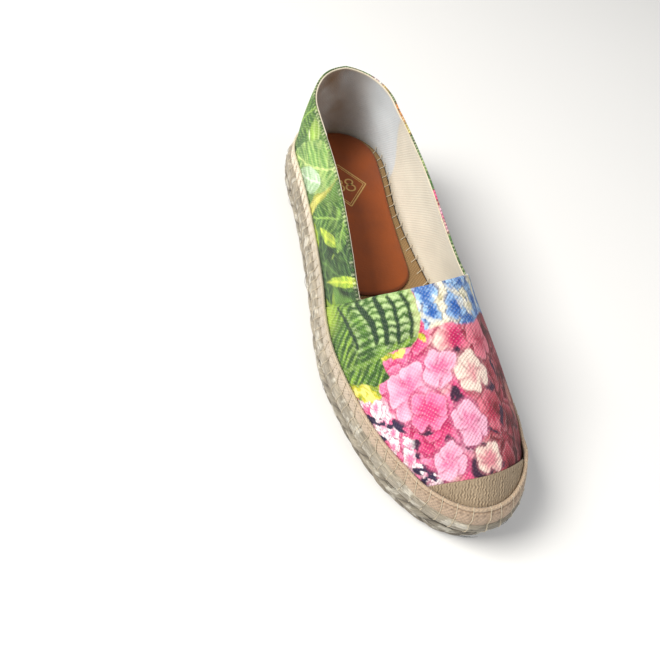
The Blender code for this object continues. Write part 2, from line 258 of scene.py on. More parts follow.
def speckled(tree, place, scale, detail, first, second):
    # noise between two colours; gives the colour and the noise
    settings = {"Vector": place, "Scale": scale, "Detail": detail}
    cloud = addNode(tree, "ShaderNodeTexNoise", settings).outputs[0]
    mix = addNode(tree, "ShaderNodeMix", {0: cloud, 6: colour(first), 7: colour(second)}, data_type="RGBA")
    return mix.outputs[2], cloud


def coat(material, base, height=None, strength=0.0, distance=0.0):
    # links the base colour, and a bump whose distance is in metres
    tree = material.node_tree
    shader = tree.nodes["Principled BSDF"]
    tree.links.new(base, shader.inputs["Base Color"])
    if height is not None:
        bump = addNode(tree, "ShaderNodeBump", {"Height": height, "Strength": strength, "Distance": distance})
        tree.links.new(bump.outputs[0], shader.inputs["Normal"])
    return material


# The last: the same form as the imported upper

last = {
    "length": 255 * mm, "ballHalf": 43.4 * mm, "toeSwing": 7.8 * mm, "soleTop": 27.0 * mm,
    "toeSpring": 1.5 * mm, "springStart": 0.76, "gap": 0.3 * mm, "wall": 2.0 * mm, "vampLap": 0.8 * mm,
    "upperInset": 4.0 * mm, "collarHeight": 49.5 * mm, "throatHeight": 58.0 * mm, "throatBow": 14.0 * mm,
    "toeFullness": 13.0 * mm, "collarLean": 8.0, "vampSlope": 26.0, "toeLean": 6.0,
    "heelRound": 0.138, "outerToeRound": 0.5, "innerToeRound": 0.18,
    "outerCorner": 0.607, "innerCorner": 0.597, "outerSeam": 0.540, "innerSeam": 0.590,
    # how far the curves up the wall and over the vamp keep their end directions, as shares of their length
    "wallHandle": 0.35, "vampHandle": 0.40,
    "outerEdge": table("along width", (
        (0, .775), (.15, .74), (.32, .78), (.5, .888), (.64, 1), (.76, 1.002), (.88, .982), (1, .88))),
    "innerEdge": table("along width", (
        (0, .775), (.15, .765), (.32, .66), (.45, .695), (.6, .81), (.72, .982), (.85, .955), (1, .93))),
    "collar": table("along outerHeight innerHeight outerInset innerInset", (
        (0, 1, 1, .19, .19), (.2, .97, .96, .20, .20), (.45, .85, .90, .19, .19),
        (.7, .79, .94, .23, .12), (1, .64, .87, .26, .29))),
}


def wayRound(along):
    # place round the shoe for a share of the length: 0 heel, 1 toe
    return np.arccos(1 - 2 * along) / pi


seamOuter = wayRound(last["outerSeam"])
seamInner = 2 - wayRound(last["innerSeam"])
cornerOuter = wayRound(last["outerCorner"])
cornerInner = 2 - wayRound(last["innerCorner"])


def endRound(distance, reach, power):
    # superellipse from 0 at an end to 1 at its reach
    return (1 - (1 - np.clip(distance / reach, 0, 1)) ** power) ** (1 / power)


def soleEdge(turn):
    # outline of the sole: half widths from two tables about a swung middle line, both ends rounded
    turn = np.asarray(turn, float) % 2.0
    along = (1 - np.cos(pi * turn)) / 2
    outer = smoothTable(last["outerEdge"], "width", along) * last["ballHalf"]
    inner = smoothTable(last["innerEdge"], "width", along) * last["ballHalf"]
    swing = last["toeSwing"] * np.clip((along - 0.5) / 0.5, 0, 1) ** 1.55
    heel = endRound(along, last["heelRound"], 2.0)
    left = swing - (outer + swing) * heel * endRound(1 - along, last["outerToeRound"], 2.1)
    right = swing + (inner - swing) * heel * endRound(1 - along, last["innerToeRound"], 2.1)
    return np.stack([np.where(turn <= 1, left, right), last["length"] * (0.5 - along)], -1)


def outward(turn):
    # level direction away from the shoe, square to the sole's edge
    along = unit(soleEdge(turn + 1e-4) - soleEdge(turn - 1e-4))
    return np.stack([along[..., 1], -along[..., 0], np.zeros(along.shape[:-1])], -1)


def sideways(out):
    # level direction along the shoe's edge, square to the outward one
    return np.stack([-out[..., 1], out[..., 0], np.zeros(out.shape[:-1])], -1)


def insetEdge(turn, inset):
    return soleEdge(turn) - outward(turn)[..., :2] * np.broadcast_to(inset, np.shape(turn))[..., None]


def spring(y):
    # rise of the sole towards the toe: a square law from where it starts
    along = 0.5 - y / last["length"]
    return last["toeSpring"] * np.clip((along - last["springStart"]) / (1 - last["springStart"]), 0, 1) ** 2


def lifted(plan, height):
    # points over a plan, at a height above the sprung sole's zero
    level = np.broadcast_to(height, plan.shape[:-1]) + spring(plan[..., 1])
    return np.concatenate([plan, level[..., None]], -1)


def setOnSole(*rings):
    # puts the foot of each sheet just above the jute
    for ring in rings:
        ring[:, 2] = last["soleTop"] + last["gap"] + spring(ring[:, 1])


def throatCorner(turn, side):
    row = last["collar"][-1]
    plan = insetEdge(np.array([turn]), row[side + "Inset"] * last["collarHeight"])[0]
    return np.array([*plan, last["soleTop"] + row[side + "Height"] * last["collarHeight"]])


def collarValue(what, isOuter, way):
    # a column of the collar's table, for the side that each place is on
    outer, inner = (smoothTable(last["collar"], side + what, way) for side in ("outer", "inner"))
    return np.where(isOuter, outer, inner) * last["collarHeight"]


def openingEdge(turn):
    # edge of the opening: collar heights and insets from the table, and an arched throat between its corners
    turn = turn % 2.0
    isOuter = turn <= 1
    way = np.clip(np.where(isOuter, turn / seamOuter, (2 - turn) / (2 - seamInner)), 0, 1)
    height, inset = (collarValue(what, isOuter, way) for what in ("Height", "Inset"))
    plan = insetEdge(np.where(isOuter, way * cornerOuter, 2 - way * (2 - cornerInner)), inset)
    collar = np.concatenate([plan, (last["soleTop"] + height)[..., None]], -1)
    across = np.clip((turn - seamOuter) / (seamInner - seamOuter), 0, 1)
    first, final = throatCorner(cornerOuter, "outer"), throatCorner(cornerInner, "inner")
    arch = 1 - np.abs(2 * across - 1) ** 2.4
    throat = first + (final - first) * across[..., None]
    throat[..., 1] -= last["throatBow"] * arch
    throat[..., 2] += (last["soleTop"] + last["throatHeight"] - (first[2] + final[2]) / 2) * arch
    inThroat = (turn > seamOuter) & (turn < seamInner)
    return np.where(inThroat[..., None], throat, collar)


def lastSurface(turn, rows):
    # each column is a cubic curve from the foot of the upper (row 0) to the edge of the opening (row 1)
    turn = np.asarray(turn, float)
    foot = lifted(insetEdge(turn, last["upperInset"]), last["soleTop"] + last["gap"])
    top = openingEdge(turn)
    out = outward(turn)
    place = turn % 2.0
    across = np.clip((place - seamOuter) / (seamInner - seamOuter), 0, 1)
    isVamp = (place > seamOuter) & (place < seamInner)
    share = np.where(isVamp, np.sin(pi * across) ** 0.7, 0)[..., None]
    wall = unit(top - foot)
    lean, slope, toeLean = (np.radians(last[name]) for name in ("collarLean", "vampSlope", "toeLean"))
    overVamp = np.array([0, np.cos(slope), np.sin(slope)])
    arrive = unit((wall * np.cos(lean) - out * np.sin(lean)) * (1 - share) + overVamp * share)
    toeWall = np.array([0, 0, np.cos(toeLean)]) + out * np.sin(toeLean)
    leave = toeWall * share + (wall + toeWall) / 2 * (1 - share)
    reach = np.linalg.norm(top - foot, axis=-1, keepdims=True)
    handle = last["wallHandle"] * (1 - share)
    second = foot + (reach * handle + last["toeFullness"] * share) * leave
    third = top - reach * (handle + last["vampHandle"] * share) * arrive
    t = np.asarray(rows, float)[..., None]
    return (1 - t) ** 3 * foot + 3 * t * (1 - t) ** 2 * second + 3 * t * t * (1 - t) * third + t ** 3 * top


def gridNormals(grid, closed=False):
    # cross product of the steps round and up the grid
    if closed:
        roundStep = np.roll(grid, -1, axis=1) - np.roll(grid, 1, axis=1)
    else:
        roundStep = np.gradient(grid, axis=1)
    return unit(np.cross(roundStep, np.gradient(grid, axis=0)))


def footRows(turn, height):
    # row of the last's surface at a height above its foot, for each column
    rows = np.linspace(0, 0.5, 80)
    above = lastSurface(turn, np.broadcast_to(rows[:, None], (80, len(turn))))[..., 2]
    above = above - above[:1]
    return np.stack([np.interp(height, above[:, k], rows) for k in range(len(turn))], -1)


def lastLevel(turn, height):
    # points and normals of the last at a height above its foot
    rows = footRows(turn, height)
    up = lastSurface(turn, np.clip(rows + 1e-3, 0, 1)) - lastSurface(turn, np.clip(rows - 1e-3, 0, 1))
    aside = lastSurface(turn + 1e-3, rows) - lastSurface(turn - 1e-3, rows)
    return lastSurface(turn, rows), unit(np.cross(aside, up))


def columnHeights(turn, rows):
    # millimetres up each column of the last from its foot
    return runLength(lastSurface(turn, rows[:, None])) / mm


def evenTurns(first, final, count, inset):
    # places round the shoe at even distances along its outline
    fine = np.linspace(first, final, 4000)
    run = runLength(insetEdge(fine, inset))
    return np.interp(np.linspace(0, run[-1], count), run, fine)


def evenRing(count, inset):
    return np.sort(evenTurns(-1, 1, count + 1, inset)[:-1] % 2.0)


footRun = np.linspace(-1, 1, 8001)
footLength = runLength(insetEdge(footRun, last["upperInset"]))
footLength -= np.interp(0, footRun, footLength)
aroundMm = (footLength[-1] - footLength[0]) / mm


def distanceRound(turn):
    # millimetres along the foot of the upper from the middle of the heel, positive on the outer side
    return np.interp((np.asarray(turn) + 1) % 2 - 1, footRun, footLength) / mm


def stitchTurns(count, shift):
    # places round the shoe of stitches at even distances
    place = (np.arange(count) + shift) / count * aroundMm - aroundMm / 2
    return np.interp(place * mm, footLength, footRun)


# The print: flowers and leaves laid over each other, later ones on top

def lay(ground, mask, tone):
    return ground + (tone - ground) * np.clip(mask, 0, 1)[..., None]


def blotch(ground, a, b, spot, tone, soft=0.35):
    # soft ellipse; spot holds its middle, half length, half width and turn in degrees
    return lay(ground, ramp(1 - np.hypot(*ownFrame(a, b, spot)), 0, soft), tone)


def nearLine(a, b, line):
    # distance to a broken line, and how far along it the nearest place is
    best, place = np.full(a.shape, 1e9), np.zeros(a.shape)
    run = 0.0
    for (x0, y0), (x1, y1) in zip(line[:-1], line[1:]):
        length = np.hypot(x1 - x0, y1 - y0)
        t = np.clip(((a - x0) * (x1 - x0) + (b - y0) * (y1 - y0)) / length ** 2, 0, 1)
        far = np.hypot(a - x0 - t * (x1 - x0), b - y0 - t * (y1 - y0))
        place = np.where(far < best, run + t * length, place)
        best = np.minimum(best, far)
        run += length
    return best, place


def inOutline(a, b, outline):
    # signed distance to a closed outline, positive inside
    within = np.zeros(a.shape, bool)
    closed = list(outline) + [outline[0]]
    for (x0, y0), (x1, y1) in zip(closed[:-1], closed[1:]):
        crosses = (y0 > b) != (y1 > b)
        within ^= crosses & (a < (x1 - x0) * (b - y0) / (y1 - y0 + 1e-12) + x0)
    return np.where(within, 1, -1) * nearLine(a, b, closed)[0]


# Tints of the flowers: deep at a petal's base, light towards its rim
petalTints = {
    "shell": ("#e8709f", "#fbb6cf"), "candy": ("#e0457f", "#fb8ab4"), "hot": ("#c4245f", "#f1588e"),
    "coral": ("#b8304f", "#ee7f92"), "wine": ("#4c0f18", "#8f2c36"), "cream": ("#e58a96", "#fde3d3"),
    "peach": ("#8c3238", "#cf917e"), "rose": ("#7a1a26", "#c1485a"), "bud": ("#e27aa4", "#fffafa"),
    "sky": ("#2f62b0", "#a3c9ee"), "milk": ("#c8bc94", "#fbf4e0"), "lemon": ("#cf8f2a", "#f6e27a"),
    "orange": ("#b9401f", "#f3a24e"),
}


def flower(ground, a, b, bloom, tints, seed):
    # four rounded petals, each laid over the last with a soft shade: distance from the heart blends the
    # deep tint into the light one, with folds as a cosine round the petal and slow noise
    chance = np.random.default_rng(seed)
    size = bloom["size"]
    near = np.hypot(a - bloom["a"], b - bloom["b"]) < size * 1.3
    aa, bb, part = a[near], b[near], ground[near]
    deep, light = (np.broadcast_to(tint, a.shape + (3,))[near] for tint in tints)
    heart = np.clip(np.hypot(aa - bloom["a"], bb - bloom["b"]) / size, 0, 1)
    lift = chance.uniform(-0.32, 0.3)
    for petal in range(4):
        angle = np.radians(bloom["turn"] + 90 * petal + chance.uniform(-14, 14))
        reach = size * chance.uniform(0.42, 0.54)
        x, y = bloom["a"] + reach * np.cos(angle), bloom["b"] + reach * np.sin(angle)
        long, wide = size * chance.uniform(0.46, 0.58), size * chance.uniform(0.46, 0.62)
        u = ((aa - x) * np.cos(angle) + (bb - y) * np.sin(angle)) / long
        v = ((bb - y) * np.cos(angle) - (aa - x) * np.sin(angle)) / wide
        wobble = 0.3 * clouds(aa, bb, 3.0, seed + petal)
        rim = np.hypot(u, v) + 0.1 * np.cos(4 * np.arctan2(v, u) + petal) + wobble
        shade = np.hypot(u - 0.14, v) + wobble
        part = lay(part, 0.65 * ramp(1.26 - shade, 0, 0.26), deep * 0.6)
        fold = 0.2 * np.cos(9 * np.arctan2(v, u + 1.2)) + 1.0 * clouds(aa, bb, 3.2, seed + 9)
        share = np.clip(ramp(heart, 0.05, 0.85) + lift + fold, 0, 1)[:, None]
        tone = deep * (1 - share) + light * share
        tone = lay(tone, 0.4 * ramp(rim, 0.72, 0.95) * ramp(heart, 0.4, 0.9), light * 0.75 + 0.25)
        part = lay(part, ramp(1.0 - rim, 0, 0.08), tone)
    ground[near] = part
    return ground


def plainTints(name):
    # a flower's two tints as linear colours
    return [srgb(code) for code in petalTints[name]]


leafTints = {
    "fresh": ("#3f6e24", "#9cc455", "#1f3d1c"), "pale": ("#6d9a45", "#cfe08c", "#44702f"),
    "deep": ("#2a4a28", "#628b3e", "#182c1e"), "lime": ("#8fb02f", "#d3df55", "#5c8427"),
    "mint": ("#a2c092", "#d8e8d0", "#7ba070"),
}


def blade(ground, a, b, leaf, seed):
    # one leaf from stalk to tip: width follows a sine, side veins slant forward from a pale midrib,
    # and the tissue between them puffs up
    body, puff, furrow = (srgb(code) for code in leafTints[leaf["tint"]])
    start, end = (np.array([leaf[name + "X"], leaf[name + "Y"]], float) for name in ("stalk", "tip"))
    length = np.hypot(*(end - start))
    way = (end - start) / length
    along = (a - start[0]) * way[0] + (b - start[1]) * way[1]
    across = (b - start[1]) * way[0] - (a - start[0]) * way[1]
    across = across - leaf["bend"] * np.sin(pi * np.clip(along / length, 0, 1))
    t = np.clip(along / length, 0, 1)
    tooth = 0.5 * np.abs((along / 2.6) % 1 - 0.5)
    half = leaf["wide"] * np.sin(pi * t ** 0.8) ** 0.75
    mask = ramp(half - np.abs(across) - tooth, -0.2, 0.3) * (along > 0) * (along < length)
    phase = (along - 0.8 * np.abs(across) + 3.6 * clouds(a, b, 6, seed)) / leaf["pitch"] / 1.3
    swell = 0.5 + 0.5 * np.cos(2 * pi * phase)
    mottle = 0.5 + clouds(a, b, 2.6, seed + 3)
    tissue = lay(np.ones(a.shape + (1,)) * body, 0.6 * swell ** 2 * np.clip(mottle * 1.2, 0, 1), puff)
    tissue = lay(tissue, 0.35 * (1 - swell) ** 3, furrow)
    tissue = lay(tissue, 0.5 * ramp(clouds(a, b, 8, seed + 5), 0.0, 0.3), furrow)
    tissue = lay(tissue, 0.45 * ramp(clouds(a, b, 7, seed + 6), 0.0, 0.3), puff)
    tissue = lay(tissue, 0.7 * ramp(0.9 - np.abs(across), 0, 0.5), puff)
    shade = 0.35 * ramp(half - np.abs(across), -2.2, 0.5) * (along > -1) * (along < length + 1)
    return lay(lay(ground, shade, furrow * 0.6), mask, tissue)


def wavyPlace(a, b, seed):
    # the chart shifted by slow noise, so that no outline stays regular
    return a + 2.4 * clouds(a, b, 7, seed), b + 2.4 * clouds(a, b, 7, seed + 7)


# Where each tint of the flower head lies, in the vamp's chart; towards the inner side, past a of about 15,
# the wine and rose tints are partly the print's deep colour and partly painted shade
headTints = table("a b tint", (
    (-22, 72, "shell"), (-26, 76, "shell"), (-16, 66, "candy"), (-21, 64, "candy"), (-30, 70, "candy"),
    (-33, 74, "hot"), (-15, 76, "shell"), (-11, 60, "hot"), (-10, 70, "candy"), (-5, 63, "cream"),
    (-6, 75, "cream"), (-26, 82, "candy"), (-28, 80, "hot"), (-14, 84, "candy"), (-7, 84, "candy"),
    (-18, 80, "shell"), (-20, 90, "hot"), (-12, 94, "hot"), (-5, 92, "candy"), (0, 88, "shell"),
    (2, 94, "coral"), (-3, 98, "shell"), (-15, 100, "hot"), (-10, 105, "cream"), (-20, 100, "candy"),
    (-5, 107, "hot"), (3, 104, "cream"), (2, 72, "cream"), (7, 75, "peach"), (9, 71, "cream"),
    (4, 79, "coral"), (-1, 78, "candy"), (3, 62, "hot"), (8, 60, "coral"), (8, 66, "coral"),
    (14, 62, "peach"), (15, 74, "rose"), (9, 84, "coral"), (6, 88, "coral"), (12, 92, "coral"),
    (16, 85, "rose"), (20, 90, "wine"), (10, 98, "rose"), (18, 100, "rose"), (10, 106, "rose"),
    (22, 58, "wine"), (22, 66, "rose"), (26, 75, "wine"), (24, 82, "rose"), (28, 92, "wine"),
    (26, 100, "wine"), (20, 108, "wine"), (30, 66, "rose"), (34, 80, "peach"), (38, 60, "rose"),
    (40, 74, "wine"), (44, 86, "rose"), (46, 66, "coral"), (52, 76, "wine"), (54, 60, "rose"),
    (60, 70, "coral"), (36, 96, "wine"), (48, 96, "wine")))

# Dark places between the petals: middle, half length, half width, turn
headGaps = table("a b long wide turn", (
    (-2, 82, 3.2, 2.2, 60), (3, 67, 2.8, 1.5, 10), (14, 68, 2.4, 1.8, 30), (14, 79, 2.2, 2.4, 80),
    (11, 73, 4.4, 1.0, 70), (-18, 89, 3.2, 1.8, 40), (-9, 97, 3.0, 1.8, 70), (-24, 98, 2.2, 3.0, 20),
    (-36, 85, 4.6, 1.5, 25), (-41, 76, 3.0, 1.3, 20), (-33, 89, 2.6, 1.6, 60), (-18, 107, 4.4, 1.3, 10),
    (-1, 109, 4.0, 2.2, 80), (-25, 92, 3.2, 1.4, 35), (0, 100, 4.4, 1.0, 5), (17, 90, 4.2, 1.2, 100),
    (7, 108, 4.4, 1.4, 0), (-42, 81, 2.4, 1.2, 30), (20, 72, 3.4, 1.0, 60), (-29, 84, 2.4, 1.0, 30),
    (4, 79, 4.0, 0.8, 20), (9, 96, 4.0, 0.9, 30)))

# Side veins of the broad leaf: half width and the line
leafVeins = [
    (0.4, [(-50, 22), (-48, 30), (-46, 40), (-44, 47)]),
    (1.0, [(-38, 29), (-35.5, 36), (-33, 43), (-32, 50)]),
    (0.8, [(-28, 33), (-27, 40), (-26.2, 47), (-26.5, 53)]),
    (0.3, [(-22, 37), (-20.5, 43), (-20, 50), (-21, 56)]),
    (0.25, [(-16, 40), (-14.2, 45), (-13.6, 52), (-15.5, 58)]),
]
leafEdge = [(-90, -20), (-90, 50), (-60, 52), (-50, 58.5), (-42, 63), (-36, 66), (-28.5, 66), (-30.5, 57.5),
            (-22, 57.8), (-16, 59.5), (-11.8, 57), (-9.6, 50), (-11, 42), (-14, 30), (-5, -20)]


def puffedTissue(a, b, slope, spacing, seed):
    # 1 on the crest of each puffed rib and 0 in its furrow: a cosine along a slant, bent by noise
    wave = (b - slope * a + 3.6 * clouds(a, b, 5, seed)) / spacing
    return 0.5 + 0.5 * np.cos(2 * pi * wave)


def paintLeaf(ground, a, b):
    # broad leaf at the rear outer corner: puffed ribs between dark side veins, yellow tips past its low edge
    teeth = 1.8 * np.abs(((a * 0.7 + b * 0.7) / 4.6) % 1 - 0.5) + 2.2 * clouds(a, b, 2.4, 403)
    tips = inOutline(a, b, [
        (-62, 50), (-52, 57), (-42, 62), (-35, 64), (-35, 70.5), (-40, 70), (-47, 66), (-56, 58.5)])
    blades = clouds((a + b) * 0.35, (a - b) * 0.9, 2.4, 407)
    yellow = lay(srgb("#c6bf30") * np.ones(a.shape + (1,)), ramp(blades, 0.03, 0.15), srgb("#e8e27c"))
    yellow = lay(yellow, 0.9 * ramp(-blades, 0.02, 0.12), srgb("#7c932c"))
    ground = lay(ground, ramp(tips - teeth, -1.4, -0.7), yellow)
    for tip, wide in (([(-31, 57.6), (-24, 59.2), (-20.5, 60)], 1.8), ([(-11.5, 57), (-9.2, 60.2)], 1.0)):
        ground = lay(ground, ramp(wide + clouds(a, b, 2, 409) * 3 - nearLine(a, b, tip)[0], 0, 0.7), yellow)
    green = inOutline(a, b, leafEdge) + 1.6 * clouds(a, b, 2.6, 410)
    tissue = srgb("#47702a") * np.ones(a.shape + (1,))
    tissue = lay(tissue, 0.8 * ramp(clouds(a, b, 9, 411), 0.0, 0.2), srgb("#6a9434"))
    tissue = lay(tissue, 0.8 * ramp(clouds(a, b, 7, 433), 0.04, 0.2), srgb("#2b4a22"))
    upper = ramp(57 - b, -1, 5) * ramp(a, -49, -40)
    beside = np.min([nearLine(a, b, vein)[0] for width, vein in leafVeins], axis=0)
    ribs = puffedTissue(a, b + 0.28 * np.minimum(beside, 4), 0.3, 3.4, 421)
    patchy = np.clip(0.55 + 2.4 * clouds(a, b, 4, 427), 0.1, 1)
    pale = ramp(a, -34, -12)[..., None]
    crest = srgb("#7fab4a") * (1 - pale) + srgb("#a8c47a") * pale
    tissue = lay(tissue, upper * ribs ** 2 * patchy, crest)
    tissue = lay(tissue, 0.45 * upper * (1 - ribs) ** 2, srgb("#2b4d22"))
    low = puffedTissue(a, b, -0.5, 4.4, 423)
    tissue = lay(tissue, 0.9 * (1 - upper) * low ** 2 * patchy, srgb("#98bd44"))
    tissue = lay(tissue, 0.75 * (1 - upper) * (1 - low) ** 2, srgb("#21401c"))
    tissue = lay(tissue, 0.8 * ramp(-a, 47, 60) * ramp(36 - b, 0, 16), srgb("#b2cc48"))
    tissue = lay(tissue, 0.55 * ramp(a + 2 * clouds(a, b, 3, 439), -15, -11), srgb("#dfe3a2"))
    rough = 1.6 * clouds(a, b, 2.2, 437)
    for width, vein in leafVeins:
        far, place = nearLine(a, b, vein)
        half = width * ramp(place, -6, 8) * ramp(30 - place, 0, 12) + rough * 0.35
        beside = ramp(4.5 - far, 0, 2.5) * ramp(far - half, 0.2, 1.2)
        tissue = lay(tissue, 0.6 * beside * upper * ribs, srgb("#cbe0a4"))
        tissue = lay(tissue, 0.9 * (1 - ramp(far - half, 0, 1.1)), srgb("#20352a"))
    middle = nearLine(a, b, [(-58, 50), (-44, 54), (-31, 56.5), (-13, 58)])[0]
    tissue = lay(tissue, 0.5 * ramp(1.2 - middle, 0, 0.8), srgb("#86a94a"))
    return lay(ground, ramp(green, -0.3, 0.3), tissue)


def headColours(a, b):
    # deep and light tint at each point: the table's tints, weighted by a high inverse power of distance
    total = np.zeros(a.shape + (1,))
    deep, light = np.zeros(a.shape + (3,)), np.zeros(a.shape + (3,))
    for row in headTints:
        weight = ((a - row["a"]) ** 2 + (b - row["b"]) ** 2 + 3.0)[..., None] ** -2.4
        rowDeep, rowLight = plainTints(row["tint"])
        total, deep, light = total + weight, deep + weight * rowDeep, light + weight * rowLight
    return deep / total, light / total


def paintBuds(a, b):
    # crowd of small pale buds at the outer edge, pink between them, with short dark dashes
    chance = np.random.default_rng(43)
    ground = srgb("#f8dde5") * np.ones(a.shape + (1,))
    ground = lay(ground, ramp(clouds(a, b, 4.6, 540), 0.03, 0.12), srgb("#e2588c"))
    for k in range(150):
        along = chance.uniform(-0.1, 1.1)
        x, y = -49 + 29 * along + chance.uniform(-8, 6), 68 + 42 * along + chance.uniform(-3, 3)
        bloom = dict(a=x, b=y, size=chance.uniform(2.4, 4.2), turn=chance.uniform(0, 90))
        tint = "bud" if chance.random() < 0.75 else "candy"
        ground = flower(ground, a, b, bloom, plainTints(tint), 2600 + 10 * k)
    dash = clouds((a * 0.8 + b * 0.6) * 0.5, b * 0.8 - a * 0.6, 2.6, 530)
    return lay(ground, ramp(dash, 0.11, 0.15), srgb("#352a48"))


def paintThroat(a, b):
    # small blue and cream flowers at the throat, with slanting strokes of both
    chance = np.random.default_rng(77)
    ground = srgb("#ece6cc") * np.ones(a.shape + (1,))
    ground = lay(ground, 0.8 * ramp(clouds(a, b, 5, 551), 0.02, 0.15), srgb("#c3cc9a"))
    for k in range(150):
        x, y = chance.uniform(-12, 66), chance.uniform(20, 58)
        bloom = dict(a=x, b=y, size=chance.uniform(3.0, 5.2), turn=chance.uniform(0, 90))
        blue = chance.random() < (0.25 if -7 < x < 0 and y > 47 else 0.74)
        ground = flower(ground, a, b, bloom, plainTints("sky" if blue else "milk"), 900 + 10 * k)
    stroke = clouds((a + b) * 0.4, (a - b) * 0.9, 3.0, 557)
    ground = lay(ground, 0.75 * ramp(stroke, 0.07, 0.14), srgb("#2f62ae"))
    return lay(ground, 0.6 * ramp(-stroke, 0.13, 0.2), srgb("#f4edd4"))


def paintVamp(a, b):
    # from the ground up: a net of flowers in the head's tints, dark gaps, big blooms, buds, throat and leaf
    wa, wb = wavyPlace(a, b, 500)
    deep, light = headColours(wa + 2.2 * clouds(a, b, 4, 503), wb + 2.2 * clouds(a, b, 4, 507))
    ground = lay(deep * 0.8, 0.7 * ramp(clouds(wa, wb, 7, 511), 0.03, 0.16), srgb("#54243f"))
    chance = np.random.default_rng(41)
    spots = [(i * 9.0 + (j % 2) * 4.5, j * 8.0) for i in range(-8, 9) for j in range(6, 15)]
    for k in chance.permutation(len(spots)):
        x, y = spots[k][0] + chance.uniform(-3, 3), spots[k][1] + chance.uniform(-3, 3)
        bloom = dict(a=x, b=y, size=chance.uniform(6.8, 9.8), turn=chance.uniform(0, 90))
        ground = flower(ground, wa, wb, bloom, (deep, light), 600 + 10 * int(k))
    ragged = 3.2 * clouds(a, b, 2.2, 521)
    for gap in headGaps:
        grown = dict(gap, long=gap["long"] * 1.35, wide=gap["wide"] * 1.35)
        ground = blotch(ground, wa + ragged, wb - ragged, grown, srgb("#43263f"), 0.35)
    for bloom in bigBlooms:
        ground = flower(ground, wa, wb, bloom, plainTints(bloom["tint"]), 1900 + int(bloom["turn"]))
    outerEdge = ramp(-wa + 0.457 * (wb - 70) + 5 * clouds(a, b, 5, 512), 33, 37)
    ground = lay(ground, outerEdge, paintBuds(wa, wb))
    rim = 1.8 * clouds(a, b, 2.6, 545)
    patch = inOutline(wa, wb, [
        (-16, 10), (90, 10), (90, 38), (44, 42), (22, 49), (14, 55), (8, 57), (2, 56.5), (-4, 57), (-9, 56)])
    ground = lay(ground, ramp(patch + rim, -0.4, 0.4), paintThroat(wa, wb))
    ground = paintLeaf(ground, a + 0.35 * (wa - a), b + 0.35 * (wb - b))
    return ground * (1 + 0.22 * clouds(a, b, 2.4, 560)[..., None])


bigBlooms = table("a b size turn tint", (
    (-21, 74, 11, 35, "shell"), (6, 74, 8, 20, "cream"), (-7, 71, 7, 72, "shell"), (0, 92, 8, 15, "shell"),
    (-15, 84, 8, 62, "candy"), (14, 62, 8, 15, "coral"), (5, 105, 6, 44, "cream"),
    (-11, 103, 7, 28, "shell")))

# Leaves and flowers of the quarters: s runs round from the heel, outer side positive, h up from the sole
outerSpots = table("a b long wide turn tint", (
    (42, 20, 9, 26, 10, "#4a7534"), (62, 16, 17, 14, 20, "#a3bd82"), (67, 12, 9, 8, 30, "#d5e3cf"),
    (58, 33, 22, 8, -12, "#8fb244"), (78, 27, 6, 7, 20, "#31502a"), (66, 35, 12, 3, -25, "#51792f"),
    (86, 22, 5.5, 28, 8, "#b0b044"), (89, 14, 3, 12, 10, "#cfcc62"), (115, 24, 27, 17, 0, "#4f7a2a"),
    (122, 26, 16, 14, -20, "#263d26"), (130, 18, 10, 10, 10, "#31502a"), (108, 17, 8, 5, 15, "#8fb236"),
    (112, 5, 30, 6, 0, "#b4cf3c"), (142, 31, 8, 10, 0, "#24391f"), (139, 29, 2.6, 13, 5, "#9cbd2c"),
    (146, 12, 9, 7, 0, "#8cab34"), (97, 30, 9, 10, 30, "#628c32")))
# Veins of the outer side: the line, its half width and tint
outerLines = [
    ([(100, 12), (108, 16), (115, 21), (121, 30)], 0.9, "#a5c23c"),
    ([(121, 30), (125, 23), (131, 17), (138, 12)], 0.8, "#96b83c"),
    ([(84, 0), (87, 20), (85, 45)], 1.2, "#d8d272"), ([(46, 40), (60, 30), (74, 22)], 0.9, "#bcd57a"),
    ([(44, 33), (58, 25), (70, 17)], 0.7, "#dfecc6"), ([(50, 42), (66, 31), (78, 20)], 0.6, "#c6dc90"),
    ([(100, 38), (106, 28), (112, 20)], 0.5, "#83a845"), ([(112, 38), (117, 30), (120, 24)], 0.5, "#6f963c"),
]
heelBlooms = table("a b size turn tint", (
    (-5, 40, 10, 20, "milk"), (-18, 30, 12, 50, "bud"), (-30, 42, 9, 15, "lemon"),
    (-42, 34, 10, 60, "lemon"), (-38, 18, 9, 30, "milk"), (-54, 40, 8, 40, "orange"),
    (-60, 26, 9, 10, "orange"), (-68, 42, 7, 70, "lemon"), (-12, 12, 8, 60, "sky"), (-22, 9, 7, 20, "sky"),
    (-50, 12, 8, 45, "bud"), (-58, 14, 6, 15, "lemon"), (-46, 24, 6, 50, "bud"), (-30, 12, 6, 25, "sky"),
    (-24, 44, 6, 60, "bud"), (-62, 50, 6, 20, "orange"), (-118, 36, 10, 20, "candy"),
    (-128, 24, 12, 55, "shell"), (-116, 14, 10, 30, "hot"), (-136, 38, 9, 10, "cream"),
    (-140, 12, 11, 40, "candy"), (-150, 26, 10, 15, "coral"), (-124, 44, 8, 33, "hot"),
    (-134, 48, 8, 71, "shell")))

